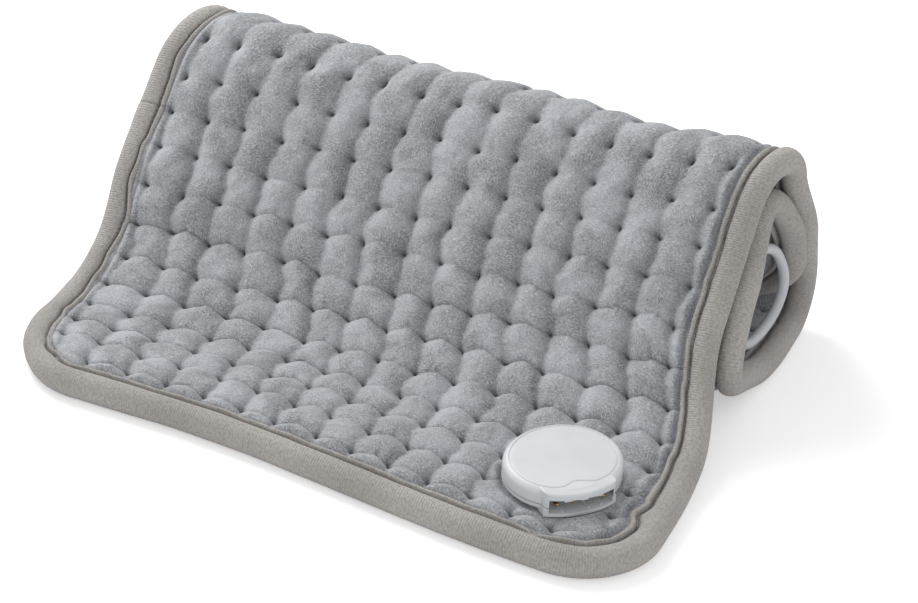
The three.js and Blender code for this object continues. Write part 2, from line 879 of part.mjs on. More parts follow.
function carrierPocket() {
  return box(
    carrierBack - meshGap, mouthBack + meshGap,
    -carrierHalfWidth - meshGap, carrierHalfWidth + meshGap,
    pinHeight - carrierHalfHeight - meshGap, pinHeight + carrierHalfHeight + meshGap,
  );
}

function mouthCavity() {
  return box(mouthBack, mouthReach + cutOverrun, -mouthWidth / 2, mouthWidth / 2, mouthFloor, mouthCeiling);
}

function socketUpperShell() {
  const split = socketSplit + meshGap;
  const dome = stackedOval([
    [0, split],
    [0, socketHeight - socketShoulder],
    [socketEdge / 2, socketHeight - socketEdge],
    [socketEdge * 2, socketHeight],
  ]);
  const collarTop = mouthCeiling + mouthWall;
  const collar = box(collarBack, mouthReach, -collarHalfWidth, collarHalfWidth, split, collarTop);
  const slope = loft([collarBack, mouthReach].map((x, i) => {
    const top = i === 0 ? socketHeight - socketEdge : collarTop;
    const half = collarHalfWidth - mouthWall;
    return [
      new THREE.Vector3(x, -half, split),
      new THREE.Vector3(x, half, split),
      new THREE.Vector3(x, half, top),
      new THREE.Vector3(x, -half, top),
    ];
  }));
  const trim = inFront(0, socketHeight + cutOverrun);
  const grooveTool = cut(
    prism(lidOutline(0), socketHeight - lidGrooveDepth, socketHeight + cutOverrun),
    prism(lidOutline(lidGroove), socketHeight - cutOverrun, socketHeight + 2 * cutOverrun),
  );
  const keys = pinPlaces().slice(0, -1).map((y) => {
    const centre = y + pinPitch / 2;
    return box(
      mouthReach - keyLength, mouthReach + cutOverrun,
      centre - keyWidth / 2, centre + keyWidth / 2,
      mouthCeiling - keyDepth, mouthCeiling + keyDepth,
    );
  });
  return cut(join(dome, collar, slope), trim, mouthCavity(), carrierPocket(), grooveTool, ...keys);
}

function socketLowerShell() {
  const plate = stackedOval([
    [socketEdge * 2, 0],
    [0, socketEdge * 2],
    [0, socketSplit],
  ]);
  const tray = box(collarBack, mouthReach, -collarHalfWidth, collarHalfWidth, 0, socketSplit);
  const trim = inFront(-cutOverrun, socketHeight);
  const depth = socketBase - plateTop - meshGap;
  const posts = [-postSpread, postSpread].map((y) => post(postRadius, -depth, socketEdge * 3, screwSides));
  posts.forEach((geometry, i) => geometry.translate(-postRadius, i === 0 ? -postSpread : postSpread, 0));
  const pilots = [-postSpread, postSpread].map((y) => {
    return post(screwPilotRadius, -depth - cutOverrun, socketSplit - socketEdge, screwSides)
      .translate(-postRadius, y, 0);
  });
  const neck = post(neckRadius, -depth, socketEdge * 3, screwSides).translate(-postRadius, 0, 0);
  const neckBore = post(neckRadius - mouthWall, -depth - cutOverrun, socketSplit + cutOverrun, screwSides)
    .translate(-postRadius, 0, 0);
  const body = cut(join(plate, tray), trim);
  return cut(join(body, ...posts, neck), mouthCavity(), carrierPocket(), ...pilots, neckBore);
}

function pinCarrier() {
  const block = box(
    carrierBack, carrierFront, -carrierHalfWidth, carrierHalfWidth,
    pinHeight - carrierHalfHeight, pinHeight + carrierHalfHeight,
  );
  const bores = pinPlaces().map((y) => {
    return rod(pinRadius + meshGap, carrierBack + mouthWall, carrierFront + cutOverrun, screwSides)
      .translate(0, y, pinHeight);
  });
  return cut(block, ...bores);
}

function contactPin() {
  const back = carrierBack + mouthWall + meshGap;
  const tip = mouthBack + pinFree;
  return turnedAlongX([
    [0, back],
    [pinRadius, back],
    [pinRadius, tip - pinTip],
    [pinRadius - pinTip, tip],
    [0, tip],
  ], screwSides);
}

function backingPlate() {
  const plate = prism(roundOutline(plateRadius, plateSides), plateTop - plateThickness, plateTop);
  const holes = [-postSpread, postSpread].map((y) => {
    return post(screwClearRadius, 0, plateTop + cutOverrun, screwSides).translate(-postRadius, y, 0);
  });
  const wireHole = post(neckRadius, 0, plateTop + cutOverrun, screwSides).translate(-postRadius, 0, 0);
  return cut(plate, ...holes, wireHole);
}

// Flat-headed screw, head down, with its head's seat at height 0.
function screw(length, headHeight = screwHeadHeight) {
  return turned([
    [0, -headHeight],
    [screwHeadRadius, -headHeight],
    [screwHeadRadius, 0],
    [screwRadius, 0],
    [screwRadius, length],
    [0, length],
  ], screwSides);
}

// Controller, lying on its back with its keys up

const shellOutline = [controllerLength, controllerWidth, controllerCorner, cornerSteps];
const innerOutline = [
  controllerLength - 2 * shellWall,
  controllerWidth - 2 * shellWall,
  controllerCorner - shellWall,
  cornerSteps,
];
const bossAlong = controllerLength / 2 - bossFromEnd;
const powerX = controllerLength / 2 - powerFromEnd;
const timerX = powerX - powerSpacing;
const buttonX = timerX - buttonSpacing;
const windowLeft = windowFromEnd - controllerLength / 2;
const windowRight = buttonX - buttonRadius - windowFromKeys;
const windowX = (windowLeft + windowRight) / 2;
const windowLength = windowRight - windowLeft;
const boardLength = controllerLength - 2 * boardEndGap;
const boardWidth = controllerWidth - 2 * boardSideGap;
const keyPlaces = [
  ['power', powerX, 0, powerRadius],
  ['heat_up', buttonX, buttonColumn, buttonRadius],
  ['heat_down', buttonX, -buttonColumn, buttonRadius],
  ['timer', timerX, 0, buttonRadius],
];
const bossPlaces = [
  [-bossAlong, -bossAcross],
  [-bossAlong, bossAcross],
  [bossAlong - buttonSpacing, -keyBossAcross],
  [bossAlong - buttonSpacing, keyBossAcross],
];
const ceiling = controllerHeight - shellWall;
const reliefHeight = controllerHeight / 2;
const boardTop = boardHeight + boardThickness;

function reliefBore() {
  return rod(reliefRadius + meshGap, -controllerLength, controllerLength, reliefSides)
    .translate(0, 0, reliefHeight);
}

function frontShell() {
  const outer = stackedBlock(...shellOutline, [
    [0, shellSplit + meshGap],
    [0, controllerHeight - shellCrown],
    [shellRound, controllerHeight - shellRound / 2],
    [shellCrown, controllerHeight],
  ]);
  const inner = stackedBlock(...innerOutline, [
    [0, shellSplit - cutOverrun],
    [0, ceiling - shellRound],
    [shellRound, ceiling],
  ]);
  const window = prism(
    roundedOutline(windowLength, windowWidth, windowCorner, 2),
    ceiling - cutOverrun, controllerHeight + cutOverrun,
  ).translate(windowX, 0, 0);
  const keyHoles = keyPlaces.map(([, x, y, radius]) => {
    return post(radius + buttonFit, ceiling - cutOverrun, controllerHeight + cutOverrun, buttonSides)
      .translate(x, y, 0);
  });
  const bosses = bossPlaces.map(([x, y]) => {
    return post(bossRadius, boardTop + meshGap, ceiling + meshGap, screwSides).translate(x, y, 0);
  });
  const pilots = bossPlaces.map(([x, y]) => {
    return post(screwPilotRadius, 0, boardTop + screwBite + 2 * meshGap, screwSides).translate(x, y, 0);
  });
  const walls = cut(outer, inner, window, ...keyHoles, reliefBore());
  return cut(join(walls, ...bosses), ...pilots);
}

function rearShell() {
  const outer = stackedBlock(...shellOutline, [
    [shellBase, 0],
    [shellBase / 2, shellBase / 3],
    [0, shellBase],
    [0, shellSplit],
  ]);
  const inner = stackedBlock(...innerOutline, [
    [shellRound, shellWall],
    [0, shellBase + shellWall],
    [0, shellSplit + cutOverrun],
  ]);
  const posts = bossPlaces.map(([x, y]) => {
    return post(bossRadius + shellWall / 2, shellWall / 2, boardHeight - meshGap, screwSides)
      .translate(x, y, 0);
  });
  const counterbores = bossPlaces.map(([x, y]) => {
    return post(screwHeadRadius + meshGap, -cutOverrun, screwSink, screwSides).translate(x, y, 0);
  });
  const holes = bossPlaces.map(([x, y]) => {
    return post(screwClearRadius, 0, boardHeight + cutOverrun, screwSides).translate(x, y, 0);
  });
  const walls = cut(outer, inner, reliefBore());
  return cut(join(walls, ...posts), ...counterbores, ...holes);
}

function circuitBoard() {
  const plate = prism(roundedOutline(boardLength, boardWidth, boardCorner, 3), boardHeight, boardTop);
  const holes = bossPlaces.map(([x, y]) => {
    return post(screwClearRadius, 0, boardTop + cutOverrun, screwSides).translate(x, y, 0);
  });
  return cut(plate, ...holes);
}

const flangeTop = ceiling - meshGap;
const flangeBottom = flangeTop - buttonFlangeThickness;
const switchBase = boardTop + meshGap;
const switchTop = switchBase + switchHeight;

// A key's cap, its flange under the shell and its stem over the switch.
function keyCap(radius) {
  const top = controllerHeight + buttonProud;
  const stemEnd = switchTop + buttonTravel + meshGap;
  return turned([
    [0, stemEnd],
    [stemRadius, stemEnd],
    [stemRadius, flangeBottom],
    [radius + buttonFlange, flangeBottom],
    [radius + buttonFlange, flangeTop],
    [radius, flangeTop],
    [radius, top - buttonDish],
    [radius - buttonDish, top],
    [radius / 2, top - buttonDish / 2],
    [0, top - buttonDish],
  ], buttonSides);
}

function displayLens() {
  const clear = 2 * meshGap;
  const pane = prism(
    roundedOutline(windowLength - clear, windowWidth - clear, windowCorner - meshGap, 2),
    flangeTop - lensFlangeThickness, controllerHeight - lensProud,
  );
  const flange = prism(
    roundedOutline(windowLength + 2 * lensFlange, windowWidth + 2 * lensFlange, windowCorner, 2),
    flangeTop - lensFlangeThickness, flangeTop,
  );
  return join(pane, flange).translate(windowX, 0, 0);
}

function displayModule() {
  const half = [windowLength / 2 - displayMargin, windowWidth / 2 - displayMargin];
  return box(windowX - half[0], windowX + half[0], -half[1], half[1], switchBase, switchBase + displayHeight);
}

// Strain relief along +X with its wall groove and flexing ribs, measured from the wall's outside.
function strainRelief(length, innerLength) {
  const ribs = Math.max(1, Math.round((length - cordDiameter / 2) / reliefRibPitch));
  const ribStep = (length - cordDiameter / 2) / (2 * ribs);
  const profile = [
    [0, -innerLength],
    [reliefFlangeRadius, -innerLength],
    [reliefFlangeRadius, -shellWall - meshGap],
    [reliefRadius, -shellWall - meshGap],
    [reliefRadius, meshGap],
  ];
  for (let i = 0; i < ribs; i++) {
    const from = meshGap + (2 * i + 1) * ribStep;
    const radius = THREE.MathUtils.lerp(reliefRadius, reliefTipRadius, (i + 1) / (ribs + 1));
    profile.push([radius, from], [radius - reliefRibDepth, from + ribStep / 3]);
    profile.push([radius - reliefRibDepth, from + (2 * ribStep) / 3], [radius, from + ribStep]);
  }
  profile.push([reliefTipRadius, length], [0, length]);
  return turnedAlongX(profile, reliefSides);
}

// Rounded rectangles along X by [place, width, height, corner] entries.
function shapedAlongX(levels) {
  return loft(levels.map(([x, width, height, radius]) => {
    return roundedOutline(width, height, radius, bodySteps).map((p) => new THREE.Vector3(x, p.x, p.y));
  }));
}

// Ribbed tail of a plug, running towards -X from the given place.
function plugTail(place) {
  return strainRelief(reliefLength, reliefFlangeThickness + shellWall)
    .rotateZ(halfTurn)
    .translate(place, 0, 0);
}

// Connector plug: its nose points to +X from the grip's face at zero

const noseWidth = mouthWidth - 2 * plugFit;
const noseHeight = mouthHeight - 2 * plugFit;
const noseLength = mouthDepth - plugFit;

function connectorBody() {
  const nose = box(-cutOverrun, noseLength, -noseWidth / 2, noseWidth / 2, -noseHeight / 2, noseHeight / 2);
  const grip = shapedAlongX([
    [-gripLength, noseWidth * gripTailShare, gripHeight - 2 * gripWaist, gripRound],
    [-gripLength * gripTailShare, noseWidth - 2 * gripWaist, gripHeight, gripRound],
    [-gripRound, noseWidth - 2 * gripWaist, gripHeight, gripRound],
    [-gripRound / 2, collarHalfWidth * 2, gripHeight, gripRound],
    [0, collarHalfWidth * 2, gripHeight, gripRound],
  ]);
  const keys = pinPlaces().slice(0, -1).map((y) => {
    const half = keyWidth / 2 - plugFit;
    const centre = y + pinPitch / 2;
    return box(-cutOverrun, keyLength - plugFit, centre - half, centre + half, 0, mouthHeight / 2 + plugFit);
  });
  const boreBack = noseLength - pinFree - sleeveRadius;
  const bores = pinPlaces().map((y) => {
    return rod(sleeveRadius + meshGap, boreBack, noseLength + cutOverrun, sleeveSides)
      .translate(0, y, 0);
  });
  return cut(join(nose, grip, ...keys, plugTail(-gripLength)), ...bores);
}

function contactSleeve() {
  const back = noseLength - pinFree - sleeveRadius + meshGap;
  const front = noseLength - meshGap;
  return turnedAlongX([
    [0, back],
    [sleeveRadius, back],
    [sleeveRadius, front],
    [sleeveBoreRadius, front],
    [sleeveBoreRadius, back + sleeveRadius],
    [0, back + sleeveRadius],
  ], sleeveSides);
}

// Mains plug: its blades point to +X from its face at zero

function bladeSeatBox(width) {
  const half = bladeThickness / 2 + meshGap;
  return box(-bladeSeat, cutOverrun, -half, half, -width / 2 - meshGap, width / 2 + meshGap);
}

function mainsBody() {
  const body = shapedAlongX([
    [-mainsBodyLength, mainsBodyWidth * mainsNeckShare, mainsBodyHeight * mainsNeckShare, mainsBodyRound],
    [-mainsBodyLength * mainsNeckShare, mainsBodyWidth, mainsBodyHeight, mainsBodyRound],
    [-mainsEdge, mainsBodyWidth, mainsBodyHeight, mainsBodyRound],
    [0, mainsBodyWidth - 2 * mainsEdge, mainsBodyHeight - 2 * mainsEdge, mainsBodyRound - mainsEdge],
  ]);
  const seats = [
    bladeSeatBox(bladeWidth).translate(0, -bladeSpacing / 2, 0),
    bladeSeatBox(wideBladeWidth).translate(0, bladeSpacing / 2, 0),
  ];
  return cut(join(body, plugTail(-mainsBodyLength)), ...seats);
}

function mainsBlade(width) {
  const half = width / 2;
  const shape = new THREE.Shape([
    [meshGap - bladeSeat, -half],
    [bladeReach - bladeChamfer, -half],
    [bladeReach, bladeChamfer - half],
    [bladeReach, half - bladeChamfer],
    [bladeReach - bladeChamfer, half],
    [meshGap - bladeSeat, half],
  ].map(([x, z]) => new THREE.Vector2(x, z)));
  const hole = roundOutline(bladeHoleRadius, sleeveSides).reverse();
  const place = new THREE.Vector2(bladeReach - bladeHoleFromTip, 0);
  shape.holes.push(new THREE.Path(hole.map((p) => p.add(place))));
  const geometry = new THREE.ExtrudeGeometry(shape, { depth: bladeThickness, bevelEnabled: false });
  return geometry.rotateX(quarterTurn).translate(0, bladeThickness / 2, 0);
}

// Core of the roll: the circle that touches the inner front, the inner back and the floor layer

function coreCircle() {
  const shift = new THREE.Vector2(rollStart, 0);
  const lines = [
    [corners.turn.clone().add(shift), frontSlope, 1],
    [corners.innerTopBack.clone().add(shift), -backSlope, 1],
    [corners.foot.clone().add(shift), halfTurn, 1],
  ].map(([p, angle, side]) => {
    const normal = new THREE.Vector2(Math.sin(angle), -Math.cos(angle)).multiplyScalar(side);
    return [normal.x, normal.y, normal.dot(p) + mid];
  });
  const matrix = new THREE.Matrix3().set(
    lines[0][0], lines[0][1], -1,
    lines[1][0], lines[1][1], -1,
    lines[2][0], lines[2][1], -1,
  ).invert();
  const answer = new THREE.Vector3(lines[0][2], lines[1][2], lines[2][2]).applyMatrix3(matrix);
  return { y: answer.x, z: answer.y, radius: answer.z };
}

const core = coreCircle();
const coilRadius = core.radius - coilClearance - cordDiameter / 2;

// A coil about the core's axis, from its start going the way of the sign.
function coilPoint(xStart, sign, turns) {
  const angle = coilStart + turns * 2 * Math.PI;
  return new THREE.Vector3(
    xStart + sign * turns * coilPitch,
    core.y + coilRadius * Math.cos(angle),
    core.z + coilRadius * Math.sin(angle),
  );
}

function coilGeometry(xStart, sign, turns) {
  const count = Math.round(turns * coilSteps);
  const sections = [];
  for (let i = 0; i <= count; i++) {
    const here = coilPoint(xStart, sign, i / coilSteps);
    const isEnd = i === 0 || i === count;
    const before = coilPoint(xStart, sign, (i - 0.5) / coilSteps);
    const after = coilPoint(xStart, sign, (i + 0.5) / coilSteps);
    const along = isEnd ? coilTangent(i / coilSteps) : after.sub(before).normalize();
    const outward = new THREE.Vector3(0, here.y - core.y, here.z - core.z).normalize();
    const across = new THREE.Vector3().crossVectors(along, outward);
    sections.push(Array.from({ length: coilSides }, (_, k) => {
      const angle = (k / coilSides) * 2 * Math.PI;
      return here.clone()
        .addScaledVector(outward, (cordDiameter / 2) * Math.cos(angle))
        .addScaledVector(across, (cordDiameter / 2) * Math.sin(angle));
    }));
  }
  const last = sections[sections.length - 1];
  const away = coilTangent(turns).multiplyScalar(cordDiameter);
  return loft([...sections, last.map((p) => p.clone().add(away))]);
}

function coilTangent(turns) {
  const angle = coilStart + turns * 2 * Math.PI;
  return new THREE.Vector3(0, -Math.sin(angle), Math.cos(angle));
}

// Just past the straight stretch, one diameter long, that ends a coil.
function coilEnd(xStart, sign, turns) {
  return coilPoint(xStart, sign, turns).addScaledVector(coilTangent(turns), cordDiameter + meshGap);
}

function measureCoil(name, xStart, sign, turns) {
  const count = Math.round(turns * coilSteps);
  const centres = Array.from({ length: count + 1 }, (_, i) => coilPoint(xStart, sign, i / coilSteps));
  let least = Infinity;
  for (let i = 0; i < centres.length; i++) {
    for (let j = i + coilSteps / 2; j < centres.length; j++) {
      least = Math.min(least, centres[i].distanceTo(centres[j]) - cordDiameter);
    }
  }
  console.log(`${name}: least gap between turns ${least.toFixed(2)} mm, wanted over ${leastCoilGap} mm`);
}

function tubeAlong(curve) {
  const steps = Math.round(curve.getLength() / (cordStepShare * cordDiameter));
  const outline = new THREE.Shape(roundOutline(cordDiameter / 2, cordSides));
  return new THREE.ExtrudeGeometry(outline, { steps, extrudePath: curve });
}

// A lead from a strain relief's tip, running the way of the sign, that turns into the start of its coil.
function leadTube(start, sign, xCoil) {
  const { lerp, smoothstep } = THREE.MathUtils;
  const points = Array.from({ length: leadSteps }, (_, i) => {
    const share = i / leadSteps;
    const turned = share * quarterTurn;
    const angle = lerp(-quarterTurn, coilStart, 1 - Math.cos(turned));
    const radius = lerp(core.z - start.z, coilRadius, smoothstep(share, 0, 1));
    return new THREE.Vector3(
      lerp(start.x, xCoil, Math.sin(turned)),
      core.y + radius * Math.cos(angle),
      core.z + radius * Math.sin(angle),
    );
  });
  const straight = start.clone().add(new THREE.Vector3((sign * cordDiameter) / 4, 0, 0));
  const end = coilPoint(xCoil, sign, 0).addScaledVector(coilTangent(0), -meshGap);
  const beforeEnd = end.clone().addScaledVector(coilTangent(0), -cordDiameter / 4);
  return tubeAlong(new THREE.CatmullRomCurve3(
    [start, straight, ...points.slice(1), beforeEnd, end], false, 'centripetal',
  ));
}

function looseTurn(points) {
  return tubeAlong(new THREE.CatmullRomCurve3(points, false, 'centripetal'));
}

// How far a plug hangs below the coil's axis when it rests on the coil's inside.
function plugDrop(width, height) {
  const inside = coilRadius - cordDiameter / 2 - plugRest;
  return Math.sqrt(inside * inside - (width * width) / 4) - height / 2;
}

// Places along X
const controllerRight = controllerX + controllerLength / 2;
const controllerLeft = controllerX - controllerLength / 2;
const mainsCordStart = controllerRight + mainsReliefLength + meshGap;
const padCordStart = controllerLeft - reliefLength - meshGap;
const mainsCoilX = mainsCordStart + leadIn;
const padCoilX = padCordStart - leadIn;
const partTurn = (coilFinish - coilStart) / (2 * Math.PI);
const mainsCoilTurns = mainsTurns + partTurn;
const padCoilTurns = padTurns + partTurn;
const mainsCoilEnd = mainsCoilX + mainsCoilTurns * coilPitch;
const padCoilEnd = padCoilX - padCoilTurns * coilPitch;
const controllerBase = padThickness + meshGap;
const controllerY = core.y;
const cordHeight = controllerBase + reliefHeight;
const mainsPlugZ = core.z - plugDrop(mainsBodyWidth, mainsBodyHeight);
const mainsTailTip = mainsCoilEnd - plugTipInset;
const connectorZ = core.z - plugDrop(collarHalfWidth * 2, gripHeight);
const connectorTailTip = padCoilEnd + plugTipInset;

// The loose turn that shows at the roll's right end, from the coil to the plug.
function mainsTurnPoints() {
  const start = coilEnd(mainsCoilX, 1, mainsCoilTurns);
  const tip = new THREE.Vector3(mainsTailTip + meshGap, core.y, mainsPlugZ);
  const shown = [
    [121.2, 219.6, 33.5],
    [124.5, 217.2, 46.5],
    [128, 205.5, 57.8],
    [131, 190.5, 58.2],
    [135.5, 178.8, 49],
    [139.5, 174.8, 36],
    [142, 178.3, 25],
    [143.5, 187, 19.5],
    [146, 200, 20.2],
    [148.3, 210.3, 25.5],
    [149.6, 215.2, 34],
    [149.4, 216.2, 42],
    [147.6, 214, 50.5],
    [144.5, 208.8, 58.6],
    [141, 201, 61.2],
    [139.5, 192.3, 57],
    [138, 187, 49.5],
    [135.3, 185.3, 41.5],
    [131.5, 187.8, 35.3],
  ].map(([x, y, z]) => new THREE.Vector3(x, y, z));
  const approach = tip.clone().add(new THREE.Vector3(cordDiameter, 0, 0));
  const straight = start.clone().addScaledVector(coilTangent(mainsCoilTurns), cordDiameter / 2);
  return [start, straight, ...shown, approach, tip];
}

// The pad lead's short turn from its coil to the connector plug.
function padTurnPoints() {
  const start = coilEnd(padCoilX, -1, padCoilTurns);
  const tip = new THREE.Vector3(connectorTailTip - meshGap, core.y, connectorZ);
  const shares = [
    [0.3, 0.95, 0.42],
    [0.62, 0.62, 0.95],
    [0.92, 0.18, 0.98],
    [1, -0.12, 0.5],
    [0.72, -0.12, 0.1],
  ];
  const reach = leadIn - cordDiameter;
  const round = shares.map(([out, across, up]) => new THREE.Vector3(
    padCoilEnd - out * reach,
    core.y + across * coilRadius,
    connectorZ + up * (core.z + coilRadius * Math.SQRT1_2 - connectorZ),
  ));
  const approach = tip.clone().add(new THREE.Vector3(-cordDiameter, 0, 0));
  const straight = start.clone().addScaledVector(coilTangent(padCoilTurns), cordDiameter / 2);
  return [start, straight, ...round, approach, tip];
}

// Pad assembly
const part = new THREE.Group();

function addMesh(parent, name, geometry, look) {
  const mesh = new THREE.Mesh(geometry, look);
  mesh.name = name;
  parent.add(mesh);
  return mesh;
}

function buildPad() {
  const pad = new THREE.Group();
  const socketPlace = [socketX, socketFromFront, 0];
  const place = (geometry) => geometry.rotateZ(socketTurn).translate(...socketPlace);
  const pocketTop = socketBase + socketHeight;
  const pocket = place(prism(ovalOutline(-meshGap), socketFloorPocket, pocketTop));
  const collarSeat = collarHalfWidth + meshGap;
  const collarPocket = place(
    box(0, mouthReach + meshGap, -collarSeat, collarSeat, socketFloorPocket, pocketTop),
  );
  const holes = [-postSpread, postSpread].map((y) => {
    return place(post(postRadius + meshGap, mid, pocketTop, screwSides).translate(-postRadius, y, 0));
  });
  const neckHole = place(post(neckRadius + meshGap, mid, pocketTop, screwSides).translate(-postRadius, 0, 0));
  const top = cut(quiltedCover(1), floorTool, join(pocket, collarPocket), ...holes, neckHole);
  addMesh(pad, 'pad_top_cover', top, plush);
  addMesh(pad, 'pad_bottom_cover', cut(quiltedCover(-1), floorTool), plush);
  addMesh(pad, 'edge_binding', cut(bindingGeometry(), floorTool), tape);
  const headHoles = [-postSpread, postSpread].map((y) => {
    return place(post(screwHeadRadius + meshGap, meshGap, plateTop, screwSides).translate(-postRadius, y, 0));
  });
  addMesh(pad, 'heating_carrier', cut(carrierGeometry(), ...headHoles), felt);
  addMesh(pad, 'heating_wire', wireGeometry(), heater);
  const chipLow = mid - liningHalfThickness + carrierThickness + meshGap;
  const cutout = box(
    -cutoutLength / 2, cutoutLength / 2,
    -cutoutWidth / 2, cutoutWidth / 2,
    chipLow, chipLow + cutoutThickness,
  );
  addMesh(pad, 'overheat_cutout', cutout.translate(-cutoutAside, cutoutFromFront, 0), darkPlastic);
  const sensor = box(
    -sensorLength / 2, sensorLength / 2,
    -sensorWidth / 2, sensorWidth / 2,
    chipLow, chipLow + cutoutThickness,
  );
  addMesh(pad, 'temperature_sensor', sensor.translate(sensorX, cutoutFromFront, 0), darkPlastic);
  return pad;
}

function buildSocket() {
  const socket = new THREE.Group();
  socket.position.set(socketX, socketFromFront, 0);
  socket.rotation.z = socketTurn;
  const raised = (name, geometry, look) => {
    addMesh(socket, name, geometry, look).position.z = socketBase;
  };
  raised('socket_upper_shell', socketUpperShell(), shellWhite);
  raised('socket_lower_shell', socketLowerShell(), shellWhite);
  raised('socket_pin_carrier', pinCarrier(), shellWhite);
  pinPlaces().forEach((y, i) => {
    const pin = addMesh(socket, `contact_pin_${i + 1}`, contactPin(), brass);
    pin.position.set(0, y, socketBase + pinHeight);
  });
  addMesh(socket, 'socket_backing_plate', backingPlate(), nickel);
  [-postSpread, postSpread].forEach((y, i) => {
    const seat = plateTop - plateThickness - meshGap;
    const length = socketBase + socketSplit - 2 * socketEdge - seat;
    const headHeight = seat - (mid - liningHalfThickness + carrierThickness + meshGap);
    const fixing = addMesh(socket, `socket_screw_${i + 1}`, screw(length, headHeight), nickel);
    fixing.position.set(-postRadius, y, seat);
  });
  return socket;
}

function buildController() {
  const controller = new THREE.Group();
  controller.position.set(controllerX, controllerY, controllerBase);
  addMesh(controller, 'controller_front_shell', frontShell(), shellWhite);
  addMesh(controller, 'controller_rear_shell', rearShell(), shellWhite);
  addMesh(controller, 'circuit_board', circuitBoard(), boardGreen);
  addMesh(controller, 'display_lens', displayLens(), smokedLens);
  addMesh(controller, 'display_module', displayModule(), darkPlastic);
  for (const [name, x, y, radius] of keyPlaces) {
    addMesh(controller, `${name}_button`, keyCap(radius), keyGrey).position.set(x, y, 0);
    const half = switchSize / 2;
    addMesh(controller, `${name}_switch`, box(-half, half, -half, half, switchBase, switchTop), darkPlastic)
      .position.set(x, y, 0);
  }
  bossPlaces.forEach(([x, y], i) => {
    const seat = screwSink - meshGap;
    const length = boardTop + screwBite - seat;
    addMesh(controller, `controller_screw_${i + 1}`, screw(length), nickel).position.set(x, y, seat);
  });
  const innerLength = shellWall + meshGap + reliefFlangeThickness;
  const mainsShape = strainRelief(mainsReliefLength, innerLength);
  const mainsRelief = addMesh(controller, 'mains_strain_relief', mainsShape, cordWhite);
  mainsRelief.position.set(controllerLength / 2, 0, reliefHeight);
  const padShape = strainRelief(reliefLength, innerLength);
  const padRelief = addMesh(controller, 'pad_lead_strain_relief', padShape, cordWhite);
  padRelief.position.set(-controllerLength / 2, 0, reliefHeight);
  padRelief.rotation.z = halfTurn;
  return controller;
}

function buildCords() {
  const cords = new THREE.Group();
  const mainsStart = new THREE.Vector3(mainsCordStart, controllerY, cordHeight);
  const padStart = new THREE.Vector3(padCordStart, controllerY, cordHeight);
  addMesh(cords, 'mains_cord_lead', leadTube(mainsStart, 1, mainsCoilX), cordWhite);
  addMesh(cords, 'mains_cord_coil', coilGeometry(mainsCoilX, 1, mainsCoilTurns), cordWhite);
  addMesh(cords, 'mains_cord_loose_turn', looseTurn(mainsTurnPoints()), cordWhite);
  addMesh(cords, 'pad_cord_lead', leadTube(padStart, -1, padCoilX), cordWhite);
  addMesh(cords, 'pad_cord_coil', coilGeometry(padCoilX, -1, padCoilTurns), cordWhite);
  addMesh(cords, 'pad_cord_loose_turn', looseTurn(padTurnPoints()), cordWhite);
  measureCoil('mains_cord_coil', mainsCoilX, 1, mainsCoilTurns);
  measureCoil('pad_cord_coil', padCoilX, -1, padCoilTurns);
  return cords;
}

function buildConnector() {
  const connector = new THREE.Group();
  connector.position.set(connectorTailTip + reliefLength + gripLength, core.y, connectorZ);
  addMesh(connector, 'connector_plug_body', connectorBody(), shellWhite);
  pinPlaces().forEach((y, i) => {
    addMesh(connector, `contact_sleeve_${i + 1}`, contactSleeve(), brass).position.y = y;
  });
  return connector;
}

function buildMainsPlug() {
  const plug = new THREE.Group();
  plug.position.set(mainsTailTip - reliefLength - mainsBodyLength, core.y, mainsPlugZ);
  plug.rotation.z = halfTurn;
  addMesh(plug, 'mains_plug_body', mainsBody(), shellWhite);
  addMesh(plug, 'mains_plug_blade', mainsBlade(bladeWidth), nickel).position.y = -bladeSpacing / 2;
  addMesh(plug, 'mains_plug_wide_blade', mainsBlade(wideBladeWidth), nickel).position.y = bladeSpacing / 2;
  return plug;
}

part.add(buildPad(), buildSocket(), buildController(), buildCords(), buildConnector(), buildMainsPlug());
const bounds = new THREE.Box3().setFromObject(part);
const centre = bounds.getCenter(new THREE.Vector3());
part.position.set(-centre.x, -centre.y, -bounds.min.z);
part.updateMatrixWorld(true);
console.log('shift', part.position.toArray().map((v) => v.toFixed(3)).join(' '));

export default part;
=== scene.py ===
"""Looks of the rolled heating pad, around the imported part. Lengths are in millimetres until placed."""
import json
import math

import bpy
import numpy as np
from mathutils import Matrix, Vector


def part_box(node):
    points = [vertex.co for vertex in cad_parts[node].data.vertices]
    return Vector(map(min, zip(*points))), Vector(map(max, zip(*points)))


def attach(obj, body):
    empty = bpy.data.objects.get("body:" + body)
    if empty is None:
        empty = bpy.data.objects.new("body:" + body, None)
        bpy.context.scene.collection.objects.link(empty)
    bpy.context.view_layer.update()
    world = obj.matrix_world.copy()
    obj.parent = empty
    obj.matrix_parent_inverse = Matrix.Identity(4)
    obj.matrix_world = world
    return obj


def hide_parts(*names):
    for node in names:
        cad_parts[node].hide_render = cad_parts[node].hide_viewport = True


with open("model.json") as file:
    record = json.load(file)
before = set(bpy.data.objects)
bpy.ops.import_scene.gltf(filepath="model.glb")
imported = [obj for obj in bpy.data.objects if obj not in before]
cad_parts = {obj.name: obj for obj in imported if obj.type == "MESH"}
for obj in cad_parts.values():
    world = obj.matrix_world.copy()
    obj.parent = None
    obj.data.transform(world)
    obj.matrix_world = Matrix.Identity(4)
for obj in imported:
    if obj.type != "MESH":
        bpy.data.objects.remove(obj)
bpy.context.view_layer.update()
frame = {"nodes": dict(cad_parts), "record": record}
BODY = "pad_and_controller"

